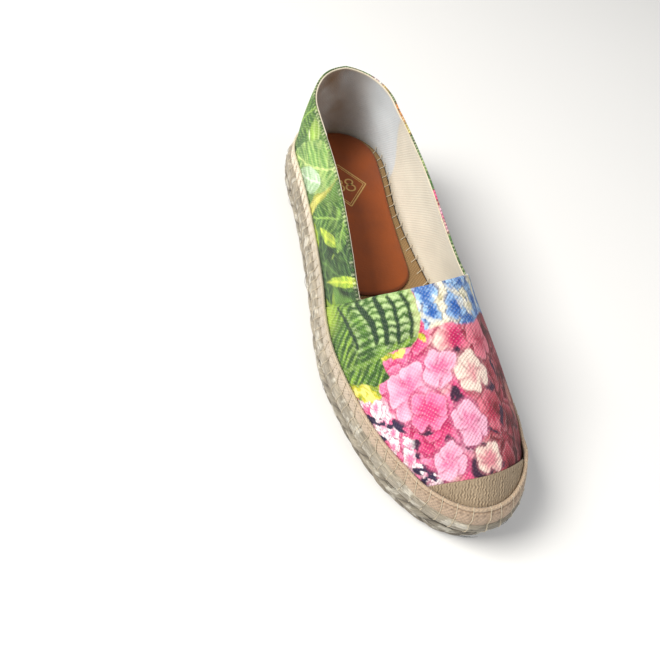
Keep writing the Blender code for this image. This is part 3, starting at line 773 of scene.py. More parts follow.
quarterLeaves = table("stalkX stalkY tipX tipY wide bend pitch tint", (
    (28, 4, 46, 46, 11, 2, 3.6, "fresh"), (20, 50, 34, 6, 9, -2, 3.4, "pale"),
    (110, 46, 92, 6, 10, 2, 3.4, "fresh"), (152, 40, 112, 26, 11, -3, 3.6, "deep"),
    (150, 12, 104, 16, 8, 2, 3.2, "deep"), (142, 46, 124, 10, 8, 3, 3.4, "deep"),
    (152, 4, 96, 4, 5, 2, 3.4, "lime"), (120, 30, 104, 14, 4, 1, 3.0, "lime"),
    (141, 42, 137, 12, 3.4, 0.5, 2.8, "lime"), (106, 40, 124, 28, 6, 1, 3.0, "fresh"),
    (84, 46, 42, 6, 15, 5, 4.2, "pale"), (80, 26, 56, 5, 8, 2, 3.6, "mint"),
    (-76, 50, -98, 2, 13, 3, 3.8, "deep"), (-112, 4, -80, 34, 12, -3, 3.8, "fresh"),
    (-96, 48, -122, 16, 9, 2, 3.4, "pale"), (-66, 4, -92, 14, 7, 1, 3.2, "lime"),
    (-152, 44, -128, 6, 11, 2, 3.6, "fresh"), (-4, 4, -34, 30, 10, 3, 3.6, "fresh"),
    (10, 48, -10, 22, 8, 2, 3.4, "deep"), (22, 6, 4, 20, 8, -2, 3.2, "lime")))


def paintQuarter(s, h, top):
    # from the ground up: spots, veins, leaves, heel flowers, streaks of thread, and the folded edge
    ws, wh = wavyPlace(s, h, 700)
    streak = clouds(ws * 0.45 + wh, (wh - ws * 0.45) * 0.2, 3.2, 711)
    fine = clouds(ws * 0.6 + wh, (wh - ws * 0.6) * 0.3, 1.7, 713)
    ground = srgb("#5c8636") * np.ones(s.shape + (1,))
    ground = lay(ground, ramp(-ws, -30, 0) * 0.9, srgb("#4d7a3c"))
    for spot in outerSpots:
        ground = blotch(ground, ws + 2 * fine, wh + 2 * streak, spot, srgb(spot["tint"]), 0.4)
    for line, width, tint in outerLines:
        ground = lay(ground, 0.85 * ramp(width * 1.4 - nearLine(ws, wh, line)[0], 0, width), srgb(tint))
    for k, leaf in enumerate(quarterLeaves):
        ground = blade(ground, ws, wh, leaf, 1700 + 10 * k)
    for k, bloom in enumerate(heelBlooms):
        ground = flower(ground, ws, wh, bloom, plainTints(bloom["tint"]), 1400 + 10 * k)
    ground = ground * ((1 + 0.9 * streak) * (1 + 0.5 * fine))[..., None]
    # the folded edge, where the thread crossings show one by one, unevenly
    edge = ramp(h - top, -1.7, -1.0)
    bead = ramp(np.sin(2 * pi * (s + 1.5 * clouds(s, 0, 5, 717)) / 2.1), -0.2, 0.5)
    strength = ramp(clouds(s, 0, 4, 719), -0.15, 0.2)
    ground = lay(ground, 0.5 * edge * bead * strength, srgb("#d8dcae"))
    return lay(ground, 0.55 * edge * (1 - bead), srgb("#2f3a24"))


# Canvas of the upper

canvas = {
    "sheet": 1.0 * mm,           # canvas; the lining makes up the rest of the wall
    "threadPitch": 0.9,          # millimetres between threads
    "vampColumns": 430, "vampRows": 190, "quarterColumns": 620, "quarterRows": 88, "insideRows": 9,
    "sag": 0.4 * mm, "pucker": 0.2 * mm, "stitchPitch": 6.0,
    # the vamp stops short of the seams, and the quarters run on under it, one step lower
    "seamClear": 0.002, "underVamp": 0.035, "underStep": 0.25 * mm,
    # millimetres of cloth between two rows over an edge: in the vamp's chart, and up the other sheets
    "vampEdgeStep": 0.45, "edgeStep": 0.3,
}
edgeAngles = (30, 60, 90, 120, 150)


def overEdge(start, end, up):
    # half round over the edge of a sheet: cosine between its two faces, sine upwards
    half = (start - end) / 2
    rise = np.linalg.norm(half, axis=-1, keepdims=True)
    angles = np.radians(edgeAngles)[:, None, None]
    return (start + end) / 2 + half * np.cos(angles) + up * rise * np.sin(angles)


def edgeHeights(top):
    # millimetres up the cloth for the rows over its edge
    return top + np.arange(1, len(edgeAngles) + 1)[:, None] * canvas["edgeStep"]


def clothUv(u, v, closeColumns=False):
    # map of a closed sheet in millimetres, with its first row, and column if that closes, again at the end
    uv = np.stack(np.broadcast_arrays(u, v), -1)
    return np.pad(uv, ((0, 1), (0, int(closeColumns)), (0, 0)), mode="wrap")


def wallSheet(turn, rows, outer, inner):
    # one skin round a sheet of cloth: outside, a half round over its edge, and back down the inside
    base = lastSurface(turn, rows[:, None])
    normals = gridNormals(base)
    outside = base + normals * np.broadcast_to(outer, base.shape[:2])[..., None]
    few = np.linspace(1, 0, canvas["insideRows"])
    inBase = lastSurface(turn, few[:, None])
    pick = np.clip(np.searchsorted(rows, few), 0, len(rows) - 1)
    inside = inBase + normals[pick] * inner
    fold = overEdge(outside[-1], inside[0], unit(base[-1] - base[-4]))
    setOnSole(outside[0], inside[-1])
    chart = np.concatenate([base, np.repeat(base[-1:], len(edgeAngles), axis=0), inBase])
    return np.concatenate([outside, fold, inside]), chart


# the ridge of the instep from the foot of the toe up to the throat, in millimetres and sorted by y
ridge = lastSurface(np.array([1.0]), np.linspace(0, 1, 400)[:, None])[:, 0] / mm
ridgeOrder = np.argsort(ridge[:, 1])
ridgeRun = runLength(ridge)[ridgeOrder]
ridge = ridge[ridgeOrder]


def vampChart(points):
    # a: straight distance from the instep's ridge at the same place along the shoe, inner side positive
    # b: millimetres towards the toe from the middle of the length
    x, y, z = np.moveaxis(points, -1, 0) / mm
    ridgeX, ridgeZ = (np.interp(y, ridge[:, 1], ridge[:, axis]) for axis in (0, 2))
    return np.sign(x - ridgeX) * np.hypot(x - ridgeX, z - ridgeZ), -y


def ridgeLength(b):
    # length along the ridge, carried on straight behind the throat
    behind = np.maximum(-b - ridge[-1, 1], 0)
    return np.interp(-b, ridge[:, 1], ridgeRun) + 1.12 * behind


# Soft creases of the upper: a and b are millimetres round the foot from the heel and up from the sole,
# half length, half width, turn in degrees, and how far the ridge (or trough, below zero) stands
creases = table("a b long wide turn rise", (
    (150, 27, 15, 3.4, 62, -0.40), (158, 25, 14, 3.2, 60, 0.34), (172, 20, 16, 3.0, 50, -0.28),
    (-150, 26, 15, 3.4, -62, -0.42), (-158, 24, 14, 3.2, -60, 0.36), (-171, 20, 16, 3.0, -52, -0.30),
    (96, 27, 26, 4.0, 6, -0.34), (92, 18, 24, 4.0, 4, 0.26), (-88, 28, 26, 4.0, -6, -0.36),
    (-84, 19, 24, 4.0, -4, 0.28), (44, 24, 16, 3.6, 74, -0.30), (-47, 24, 16, 3.6, -74, -0.32),
    (14, 14, 14, 3.0, 8, -0.22), (-200, 17, 14, 3.0, -30, -0.24), (202, 16, 13, 3.0, 28, -0.22)))

def clothRelief(along, height, seed):
    # slow swells of the cloth, the creases of the table as soft ellipses, and small puckers that the
    # strip's stitches pull in above it
    relief = canvas["sag"] * 2 * clouds(along, height, 34, seed) * ramp(height, 6, 20)
    for crease in creases:
        u, v = ownFrame(along, height, crease)
        relief = relief + crease["rise"] * mm * np.exp(-u ** 2 - v ** 2)
    pull = canvas["pucker"] * np.cos(2 * pi * along / canvas["stitchPitch"]) * bell(height, 9, 5)
    return relief + pull


def printedCanvas():
    # cotton canvas, plain woven from thick threads and printed: matt; each thread crossing gets a painted
    # highlight, a pale dot, and the paint between the threads is darkened with painted shade
    material, tree = newMaterial("printedCottonCanvas", 0.88, 0.25, 0.15)
    uv, paint = clothMap(tree)
    warp = addNode(tree, "ShaderNodeTexNoise", {"Vector": uv, "Scale": 0.22, "Detail": 2.0})
    shift = addNode(tree, "ShaderNodeVectorMath", {0: warp.outputs["Color"], 1: (1.6, 1.6, 0)},
                    operation="MULTIPLY")
    wavy = addNode(tree, "ShaderNodeVectorMath", {0: uv, 1: shift.outputs[0]}, operation="ADD").outputs[0]
    threads = weave(tree, wavy, canvas["threadPitch"])
    speck = addNode(tree, "ShaderNodeTexNoise",
                    {"Vector": uv, "Scale": 0.55, "Detail": 3.0, "Roughness": 0.8})
    fleck = addNode(tree, "ShaderNodeMapRange", {0: speck.outputs[0], 1: 0.38, 2: 0.68, 3: 0.15, 4: 1.25})
    # painted shade: the paint gets darker down between the threads
    low = addNode(tree, "ShaderNodeMapRange", {0: threads, 1: -0.9, 2: 0.0, 3: 0.86, 4: 1.0})
    # painted highlight on the thread crossings, spread at random, weaker on dark paint and on very light
    # paint
    high = addNode(tree, "ShaderNodeMapRange", {0: threads, 1: 0.2, 2: 0.95, 3: 0.0, 4: 0.34})
    bright = addNode(tree, "ShaderNodeRGBToBW", {0: paint}).outputs[0]
    inked = addNode(tree, "ShaderNodeMapRange", {0: bright, 1: 0.02, 2: 0.22, 3: 0.12, 4: 1.0})
    strength = addNode(tree, "ShaderNodeMath", {0: high.outputs[0], 1: fleck.outputs[0]},
                       operation="MULTIPLY")
    calm = addNode(tree, "ShaderNodeMapRange", {0: bright, 1: 0.26, 2: 0.5, 3: 1.0, 4: 0.3})
    both = addNode(tree, "ShaderNodeMath", {0: inked.outputs[0], 1: calm.outputs[0]}, operation="MULTIPLY")
    crestHighlight = addNode(tree, "ShaderNodeMath", {0: strength.outputs[0], 1: both.outputs[0]},
                    operation="MULTIPLY")
    valleyShade = addNode(tree, "ShaderNodeVectorMath", {0: paint, "Scale": low.outputs[0]}, operation="SCALE")
    light = addNode(tree, "ShaderNodeMix", {0: crestHighlight.outputs[0], 6: valleyShade.outputs[0], 7: colour("#fdf0e4")},
                    data_type="RGBA")
    return coat(material, light.outputs[2], threads, 0.4, 0.5 * mm)


def makeVamp(material):
    clear = canvas["seamClear"]
    turn = evenTurns(seamOuter + clear, seamInner - clear, canvas["vampColumns"], last["upperInset"])
    rows = np.linspace(0, 1, canvas["vampRows"])
    height = columnHeights(turn, rows)
    along = np.broadcast_to(distanceRound(turn), height.shape)
    stand = last["vampLap"] + clothRelief(along, height, 5)
    grid, chart = wallSheet(turn, rows, stand, -canvas["sheet"])
    a, b = vampChart(chart)
    pastEdge = np.clip(np.arange(len(grid)) - len(rows) + 1, 0, len(edgeAngles) + 1)[:, None]
    uv = clothUv(a, ridgeLength(b) + pastEdge * canvas["vampEdgeStep"])
    piece = gridMesh("vampCanvas", grid, uv, paintVamp(a, b), closeColumns=False)
    dress(piece, "printed_canvas", material, "upper")


def makeQuarters(material):
    lap = canvas["underVamp"]
    turn = evenTurns(seamInner - 2 - lap, seamOuter + lap, canvas["quarterColumns"], last["upperInset"])
    rows = np.linspace(0, 1, canvas["quarterRows"])
    height = columnHeights(turn, rows)
    along = np.broadcast_to(distanceRound(turn), height.shape)
    under = ramp(np.maximum(turn - seamOuter, seamInner - 2 - turn), -0.006, 0.0)
    stand = clothRelief(along, height, 15) * (1 - under) - under * canvas["underStep"]
    grid = wallSheet(turn, rows, stand, -canvas["sheet"])[0]
    top = height[-1:]
    downInside = top + 2 + np.linspace(0, 1, canvas["insideRows"])[:, None] * top
    v = np.concatenate([height, edgeHeights(top), downInside])
    u = np.broadcast_to(distanceRound(turn), v.shape)
    h = np.minimum(v, top + 0.5)
    paint = paintQuarter(u, h, np.broadcast_to(top, h.shape))
    piece = gridMesh("quarterCanvas", grid, clothUv(u, v), paint, closeColumns=False)
    dress(piece, "printed_canvas", material, "upper")


# Lining and heel counter

lining = {
    "sheet": 0.95 * mm, "glue": 0.05 * mm, "columns": 420, "rows": 60, "outsideRows": 10,
    "counterReach": 62.0, "counterStep": 0.35 * mm,
}


def liningCloth():
    # bleached cotton twill glued to the canvas: matt cream, a little darker low down; its threads are
    # drawn as a fine plain weave, which looks the same at this size
    material, tree = newMaterial("creamCottonTwill", 0.92, 0.2, 0.2)
    uv, paint = clothMap(tree)
    cloud = addNode(tree, "ShaderNodeTexNoise", {"Vector": uv, "Scale": 0.06, "Detail": 4.0}).outputs[0]
    return coat(material, toned(tree, paint, cloud, 0.9, 1.03), weave(tree, uv, 0.9), 0.25, 0.3 * mm)


def makeLining(material):
    turn = evenRing(lining["columns"], last["upperInset"])
    rows = np.linspace(0, 1, lining["rows"])
    few = np.linspace(0, 1, lining["outsideRows"])
    height = columnHeights(turn, rows)
    along = distanceRound(turn)
    # the heel counter lies between canvas and lining, and ends in a wavy line
    counter = ramp(lining["counterReach"] + 3 * np.sin(height / 7) - np.abs(along), 0, 1.6)
    back = canvas["sheet"] + lining["glue"]
    depth = back + lining["sheet"] - lining["counterStep"] * (1 - counter)
    depth = depth + canvas["sag"] * 0.6 * clouds(along, height, 30, 31) * ramp(height, 5, 15)
    inner = lastSurface(turn, rows[:, None])
    inner = inner - gridNormals(inner, True) * depth[..., None]
    outerBase = lastSurface(turn, few[:, None])
    outer = outerBase - gridNormals(outerBase, True) * back
    fold = overEdge(outer[-1], inner[-1], unit(outerBase[-1] - outerBase[-2]))
    setOnSole(inner[0], outer[0])
    grid = np.concatenate([outer, fold, inner[::-1]])
    v = np.concatenate([few[:, None] * height[-1:], edgeHeights(height[-1:]), height[::-1]])
    u = np.broadcast_to(along, v.shape)
    firstInside = len(few) + len(edgeAngles)
    isCounter = np.concatenate([np.zeros((firstInside, len(turn))), counter[::-1]])
    paint = lay(srgb("#ede7d6"), isCounter, srgb("#dde5ea"))
    # painted shade, with some wear: the counter turns dark brown towards the outer side and the heel, where
    # the inside of the heel lies in shade
    wearAndShade = ramp(u, -34, 4) * isCounter * (0.8 + 0.6 * clouds(u, v, 14, 43))
    paint = lay(paint, 0.92 * wearAndShade, srgb("#7d5a30"))
    # darker low down, towards the insole
    paint = lay(paint, 0.35 * ramp(7 - v, 0, 7), srgb("#b39a78"))
    rim = np.zeros(v.shape)
    rim[len(few) - 1:firstInside + 1] = 1
    paint = lay(paint, 0.55 * rim * (0.7 + 0.6 * clouds(u, v, 9, 41)), srgb("#c7b28c"))
    piece = gridMesh("lining", grid, clothUv(u, v, closeColumns=True), paint)
    dress(piece, "printed_canvas", material, "upper")


# Toe cap

cap = {
    "thickness": 0.9 * mm, "depth": 16.5 * mm, "bow": 12.5 * mm, "columns": 420, "rows": 130, "insideRows": 6,
    "ribPitch": 1.25, "ribHeight": 0.2 * mm, "sunk": 0.16 * mm, "lip": 0.3 * mm, "endClear": 0.012,
    "lowest": 0.03,
}


def capBack(x):
    # rear edge of the cap: an arc bulging to the toe
    sideways = (x - last["toeSwing"] / 2) / (last["ballHalf"] * 0.83)
    return -last["length"] / 2 + cap["depth"] + cap["bow"] * sideways ** 2


def capReach():
    turn = np.linspace(0.5, 1.5, 1001)
    foot = insetEdge(turn, last["upperInset"])
    under = turn[foot[:, 1] < capBack(foot[:, 0])]
    return under[0], under[-1]


def linen():
    # natural linen in a heavy rib weave, glued over the toe: dull tan; painted shade darkens the furrows
    # between the ribs and painted light brightens their crests
    material, tree = newMaterial("ribbedLinen", 0.9, 0.25, 0.1)
    uv, paint = clothMap(tree)
    slub = addNode(tree, "ShaderNodeTexNoise", {"Vector": uv, "Scale": 1.4, "Detail": 4.0}).outputs[0]
    return coat(material, toned(tree, paint, slub, 0.82, 1.12), slub, 0.4, 0.4 * mm)


def capTop(turn):
    # row of the last's surface where each column crosses the cap's rear edge, straight between fine rows
    fine = np.linspace(0, 0.6, 400)
    base = lastSurface(turn, fine[:, None])
    behind = base[..., 1] - capBack(base[..., 0])
    first = np.argmax(behind > 0, axis=0)
    before = np.maximum(first - 1, 0)
    column = np.arange(len(turn))
    low, high = behind[before, column], behind[first, column]
    between = np.clip(-low / np.where(high > low, high - low, 1), 0, 1)
    return np.maximum(fine[before] + (fine[first] - fine[before]) * between, cap["lowest"])


def makeCap(material):
    start, end = capReach()
    turn = evenTurns(start + cap["endClear"], end - cap["endClear"], cap["columns"], last["upperInset"])
    top = capTop(turn)
    share = np.linspace(0, 1, cap["rows"])[:, None]
    surface = lastSurface(turn, share * top)
    a, b = vampChart(surface)
    wander = 1.5 * clouds(a, b, 2.6, 71) + 0.2 * np.sin(2 * pi * ridgeLength(b) / 2.2 + 0.9 * a)
    phase = 2 * pi * (a + 0.35 * b + wander) / cap["ribPitch"]
    broken = ramp(clouds(a * 1.6, b * 1.1, 1.7, 75), -0.12, 0.14)
    ribs = np.cos(phase) * (0.2 + 0.8 * broken)
    inner = last["vampLap"] + last["gap"]
    stand = inner + cap["thickness"] - cap["sunk"] + cap["ribHeight"] * ribs * ramp(1 - share, 0, 0.03)
    over = surface + gridNormals(surface) * stand[..., None]
    inBase = lastSurface(turn, np.linspace(1, 0, cap["insideRows"])[:, None] * top)
    under = inBase + gridNormals(inBase[::-1])[::-1] * inner
    lip = (over[-1] + under[0]) / 2 + unit(surface[-1] - surface[-5]) * cap["lip"]
    setOnSole(over[0], under[-1])
    grid = np.concatenate([over, lip[None], under])
    hidden = ((0, 1 + cap["insideRows"]), (0, 0))
    # painted shade in the furrows of the ribs and painted light on their crests; the slow patchy tone below
    # is wear
    tone = np.pad(0.5 + 0.5 * ribs, hidden)
    wearAndShade = np.pad(clouds(a, b, 12, 81), hidden)[..., None]
    paint = lay(srgb("#82705a"), tone, srgb("#b7a287")) * (1 + 0.3 * wearAndShade)
    a, b = vampChart(grid)
    piece = gridMesh("toeCap", grid, clothUv(a, ridgeLength(b)), paint, closeColumns=False)
    dress(piece, "plain_linen", material, "toe_cap")


# Strip round the foot of the upper, and its stitches

strip = {
    "height": 7.8 * mm, "thickness": 1.2 * mm, "columns": 1300, "insideRows": 5, "stitchPitch": 6.0,
    "threadRadius": 0.19 * mm, "dent": 0.2 * mm, "dashLength": 1.3, "dashAt": 0.68,
    # a thin roll along the top edge over a furrow, and the puff of the cloth between two stitches
    "roll": 0.32 * mm, "furrow": 0.25 * mm, "furrowAt": 0.82, "puff": 0.3 * mm, "wave": 0.35 * mm,
}


def standOff(turn):
    # how far the strip's inside stands off the last: it climbs over the vamp's lap and the cap
    start, end = capReach()
    slope = 0.03
    turn = turn % 2.0
    overVamp = np.clip((turn - seamOuter) / slope + 1, 0, 1) * np.clip((seamInner - turn) / slope + 1, 0, 1)
    overCap = np.clip((turn - start) / slope + 1, 0, 1) * np.clip((end - turn) / slope + 1, 0, 1)
    return last["gap"] + last["vampLap"] * overVamp + (cap["thickness"] + last["gap"]) * overCap


stitchCount = round(aroundMm / strip["stitchPitch"])


def stitchPull(turn, sharpness=8):
    # 1 at a stitch and 0 between: a cosine to a high power, as far round the foot as the stitches are apart
    return (np.cos(pi * distanceRound(turn) / aroundMm * stitchCount) ** 2) ** sharpness


def stripCloth():
    # cotton tape, sewn on by hand: matt pinkish beige with a fine grain; the weave is painted into the
    # colour, with painted shade between the threads and a little painted light on them
    material, tree = newMaterial("cottonTape", 0.9, 0.25, 0.15)
    uv, paint = clothMap(tree)
    grain = weave(tree, uv, 0.8)
    cloud = addNode(tree, "ShaderNodeTexNoise",
                    {"Vector": uv, "Scale": 0.35, "Detail": 6.0, "Roughness": 0.65})
    shade = toned(tree, toned(tree, paint, cloud.outputs[0], 0.86, 1.08), grain, 0.84, 1.06, (-1.0, 1.0))
    return coat(material, shade, grain, 0.4, 0.4 * mm)


def stripFace(turn, share):
    # outside of the strip at a share of its height, each swell a bell or a sine
    centre, normals = lastLevel(turn, strip["height"] * share)
    pull = stitchPull(turn)
    roll = strip["roll"] * bell(share, 0.93, 0.06) - strip["furrow"] * bell(share, strip["furrowAt"], 0.035)
    puff = strip["puff"] * np.sin(pi * min(share, 0.8) / 0.8) * (1 - pull)
    wave = strip["wave"] * clouds(distanceRound(turn), share * 8, 6, 91)
    dent = strip["dent"] * pull * (0.4 + 0.6 * (share > 0.75))
    return centre + normals * (standOff(turn) + strip["thickness"] + roll + puff + wave - dent)[:, None]


def makeStrip(material):
    turn = evenRing(strip["columns"], last["upperInset"])
    run = distanceRound(turn)
    shares = np.concatenate([np.linspace(0, 0.74, 14), np.linspace(0.76, 1.0, 14)])
    outer = [stripFace(turn, share) for share in shares]
    inner = []
    for share in np.linspace(1, 0, strip["insideRows"]):
        centre, normals = lastLevel(turn, strip["height"] * share)
        inner.append(centre + normals * standOff(turn)[:, None])
    setOnSole(outer[0], inner[-1])
    grid = np.stack(outer + inner)
    level = np.concatenate([shares, np.ones(len(inner))])[:, None]
    y = soleEdge(turn)[:, 1] / mm
    # the tape's tone: paler at the heel, darker towards the toe and greyer round the middle of the length;
    # the paler heel is partly painted light that makes up for the heel getting less light
    base = lay(srgb("#efe3cf"), ramp(-y, -60, 125), srgb("#bba28b")) * np.ones((len(grid), 1, 1))
    base = lay(base, 0.75 * bell(y, -5, 55), srgb("#b3aa9b"))
    # painted shade: darker in the dents at the stitches and in the furrow under the top roll
    base = lay(base, 0.14 * stitchPull(turn), srgb("#8d7050"))
    base = lay(base, 0.55 * bell(level, strip["furrowAt"], 0.03), srgb("#7a5c3e"))
    base = lay(base, 0.25 * ramp(level, 0.86, 0.9), srgb("#d9c3a2"))
    # two short dark dashes of thread between neighbouring stitches, some of them missing
    place = (run / aroundMm * stitchCount) % 1.0 * strip["stitchPitch"]
    for middle in (1.7, 4.3):
        dash = ramp(strip["dashLength"] / 2 - np.abs(place - middle), -0.3, 0.3)
        present = noise(np.floor(run / strip["stitchPitch"]), middle, 1.0, 95) > 0.3
        base = lay(base, 0.5 * dash * present * bell(level, strip["dashAt"], 0.05), srgb("#4c3a2b"))
    # darker towards the foot of the strip, next to the jute
    base = lay(base, 0.5 * ramp(0.25 - level, 0, 0.25), srgb("#8a7355"))
    v = np.concatenate([shares, 1.2 + np.linspace(0, 1, len(inner))])[:, None] * strip["height"] / mm
    piece = gridMesh("edgeStrip", grid, clothUv(run, v, closeColumns=True), base)
    dress(piece, "strip_cotton", material, "welt_strip")


# Braided jute

jute = {
    "columns": 1340, "rows": 64, "bottom": 2.8 * mm, "top": 1.08, "roundness": 4.2 * mm, "relief": 1.15 * mm,
    # two braided rows and a wrapped one on top: shares of the side's height, lean and pitch of the strands,
    # how far they wander, power of their round crowns, lumps, share of the relief, where the first strand
    # starts, stretch of the fibres round the shoe, whether it is wrapped, lit crown colour and painted shade
    # colour
    "braids": table("low high lean pitch wander power lumps share start stretch wrapped light deep", (
        (0.00, 0.31, -1.1, 10.0, 1.0, 0.5, 0.5, 1.0, 0.0, 0.35, False, "#968a77", "#50463a"),
        (0.31, 0.645, 1.2, 13.0, 1.0, 0.5, 0.5, 1.0, 0.0, 0.35, False, "#aea38f", "#605546"),
        (0.645, 1.08, -0.7, 6.0, 0.4, 0.35, 2.0, 0.16, 0.5, 1.0, True, "#ada28f", "#a39885"))),
    "side": table("along inset", (
        (0, 1), (.06, .72), (.17, .52), (.29, .62), (.33, .74), (.38, .30), (.5, .02), (.62, .2),
        (.655, .4), (.7, .12), (.82, 0), (.94, 0), (1.01, .12), (1.05, .38), (1.08, .8))),
}


def juteYarn():
    # plaited jute, pressed and sewn: coarse dull straw fibres; their silver sheen where they lie flat is
    # partly the shader's gloss and partly a painted highlight in the colour
    material, tree = newMaterial("braidedJute", 0.62, 0.45, 0.15)
    uv, paint = clothMap(tree)
    long = addNode(tree, "ShaderNodeMapping", {"Vector": uv, "Scale": (0.16, 1.9, 1.0)}).outputs[0]
    fibre = addNode(tree, "ShaderNodeTexNoise",
                    {"Vector": long, "Scale": 1.0, "Detail": 5.0, "Roughness": 0.7})
    shade = toned(tree, paint, fibre.outputs[0], 0.45, 1.5, (0.32, 0.68))
    return coat(material, shade, fibre.outputs[0], 1.0, 1.3 * mm)


def juteHeight(up):
    return jute["bottom"] + (last["soleTop"] - jute["bottom"]) * up


def juteSide(turn, up):
    # side of the jute: the profile's inset from the table, each braid's strands as arcs across a slanting
    # phase, squeezed at the stitches; gives points, tone and the strands' own map
    around = distanceRound(turn)[None, :]
    up = up[:, None]
    shape = (len(up), len(turn))
    tone, relief = np.zeros(shape + (3,)), np.zeros(shape)
    u, v = np.zeros(shape), np.zeros(shape)
    for k, braid in enumerate(jute["braids"]):
        share = braid["high"] - braid["low"]
        tall = (last["soleTop"] - jute["bottom"]) / mm * share
        w = (up - braid["low"]) / share * 2 - 1
        isHere = (w >= -1) & ((w < 1) | braid["wrapped"])
        count = round(aroundMm / braid["pitch"])
        wander = 2.6 * clouds(around, up * 9, 11, 100 + 9 * k) * braid["wander"]
        slant = braid["lean"] * w * tall / 2 / braid["pitch"]
        phase = (around + wander) / aroundMm * count - slant + braid["start"]
        strand = np.floor(phase)
        t = phase - strand
        crown = np.clip(1 - (2 * t - 1) ** 2, 0, 1) ** braid["power"]
        dome = np.sqrt(np.clip(1 - w ** 2, 0, 1)) ** 0.7
        each = np.random.default_rng(300 + k).random((count + 8, 3))[(strand % count).astype(int)]
        lumps = braid["lumps"] * clouds(around * 0.5, up * 22, 3.1, 130 + k)
        bulge = (crown - 0.75) * (0.55 + 0.6 * each[..., 0]) + lumps
        height = jute["relief"] * braid["share"] * bulge * dome
        # painted light and shade: 1 where a strand's crown is lit and 0 in the shaded groove between strands
        paintedLightShare = np.clip(crown * dome * 1.2 + 0.5 * lumps, 0, 1) ** 1.3
        # painted highlight: patches of silver sheen on the crowns
        paintedSheen = 0.75 * ramp(clouds(around * 0.6, up * 20, 2.2, 150 + k), 0.06, 0.17)
        shade = lay(srgb(braid["deep"]), paintedLightShare, srgb(braid["light"])) * (0.75 + 0.4 * each[..., 1:2])
        shade = lay(shade, paintedSheen * paintedLightShare, srgb("#dfd9ca"))
        acrossStrand = w * tall / 2 if braid["wrapped"] else t * braid["pitch"] + strand * 3.3
        relief = np.where(isHere, height, relief)
        tone = np.where(isHere[..., None], shade, tone)
        u = np.where(isHere, w * tall / 2 + braid["stretch"] * around, u)
        v = np.where(isHere, acrossStrand, v)
    inset = smoothTable(jute["side"], "inset", up) * jute["roundness"]
    edge = ramp(up, 0, 0.05) * ramp(jute["top"] - up, 0, 0.05)
    follow = ramp(up, 0.66, 0.9) * (standOff(turn) - last["gap"])[None] * 0.6
    plan = soleEdge(turn)[None] - outward(turn)[None, :, :2] * (inset - relief * edge - follow)[..., None]
    return lifted(plan, juteHeight(up)), tone, u, v


def makeJute(material):
    turn = evenRing(jute["columns"], 0)
    side, tone, u, v = juteSide(turn, np.linspace(0, jute["top"], jute["rows"]))
    # the top and bottom close inwards in a few rings, towards the part of the middle line between the ends
    shares = (0.96, 0.8, 0.5, 0.02)
    ends = []
    for ring, level in ((side[0], jute["bottom"]), (side[-1], last["soleTop"])):
        heart = np.stack([0 * ring[:, 0], np.clip(ring[:, 1], -70 * mm, 90 * mm)], -1)
        ends.append(np.stack([lifted(heart + (ring[:, :2] - heart) * share, level) for share in shares]))
    grid = np.concatenate([ends[0][::-1], side, ends[1]])
    plain = np.broadcast_to(srgb("#8d7f68"), ends[0].shape)
    around = np.broadcast_to(distanceRound(turn), ends[0].shape[:2])
    inwards = np.broadcast_to(np.arange(len(shares))[:, None] * 5.0, around.shape)
    uv = np.stack([np.concatenate([around, u, around]), np.concatenate([inwards, v, inwards])], -1)
    # the last column of the map is repeated, so that no strand is stretched over the back of the heel
    uv = np.concatenate([uv, uv[:, -1:]], axis=1)
    piece = gridMesh("juteSole", grid, uv, np.concatenate([plain, tone, plain]), closeRows=False)
    dress(piece, "jute_braid", material, "jute_sole")


def tanThread():
    # waxed linen thread: satin tan, fine twist
    material, tree = newMaterial("waxedLinenThread", 0.55, 0.4)
    place = addNode(tree, "ShaderNodeTexCoord").outputs["Object"]
    base, twist = speckled(tree, place, 900.0, 2.0, "#b5a88f", "#dccfb8")
    return coat(material, base, twist, 0.5, 0.3 * mm)


def makeStitches(material):
    # a thread at each dent, from the strip's top edge over its face and the upper braid to the furrow below
    turn = stitchTurns(stitchCount, 0.0)
    lean = np.random.default_rng(17).uniform(-0.004, 0.004, stitchCount)
    levels = []
    for share in (1.0, 0.97, 0.9, 0.78, 0.66, 0.54, 0.42):
        levels.append(stripFace((turn + lean * share) % 2.0, share))
    for up in (1.05, 1.01, 0.95, 0.87, 0.79, 0.72, 0.675):
        levels.append(juteSide((turn - lean * 0.5) % 2.0, np.array([up]))[0][0])
    out = outward(turn)
    path = np.stack(levels, axis=1) + out[:, None] * 0.16 * mm
    for end in (0, -1):
        path[:, end] -= out * 0.9 * mm
    dress(tubes("edgeStitches", path, strip["threadRadius"]), "strip_cotton", material)


hairs = {"count": 130, "radius": 0.09 * mm, "sides": 4, "taper": 0.8}


def makeHairs(material):
    # loose jute fibres that stand off the braid: short arcs, tilted at random
    chance = np.random.default_rng(23)
    count = hairs["count"]
    turn = chance.uniform(0, 2, count)
    up = chance.uniform(0.1, 0.95, count)
    inset = smoothTable(jute["side"], "inset", up) * jute["roundness"]
    root = lifted(insetEdge(turn, inset), juteHeight(up))
    out = outward(turn)
    along = sideways(out) * chance.choice([-1, 1], count)[:, None]
    length = chance.uniform(4, 10, count)[:, None, None] * mm
    t = np.linspace(0, 1, 7)[None, :, None]
    rise = chance.uniform(-0.15, 0.3, count)[:, None, None] * np.array([0, 0, 1])
    lift = chance.uniform(0.04, 0.16, count)[:, None, None]
    path = root[:, None] + length * (t * along[:, None] + 4 * lift * t * (1 - t) * out[:, None] + t * rise)
    path = path - out[:, None] * 0.2 * mm
    path[..., 2] = np.maximum(path[..., 2], 0.4 * mm)
    piece = tubes("juteHairs", path, hairs["radius"], hairs["sides"], hairs["taper"])
    dress(piece, "jute_braid", material)


# Rubber outsole

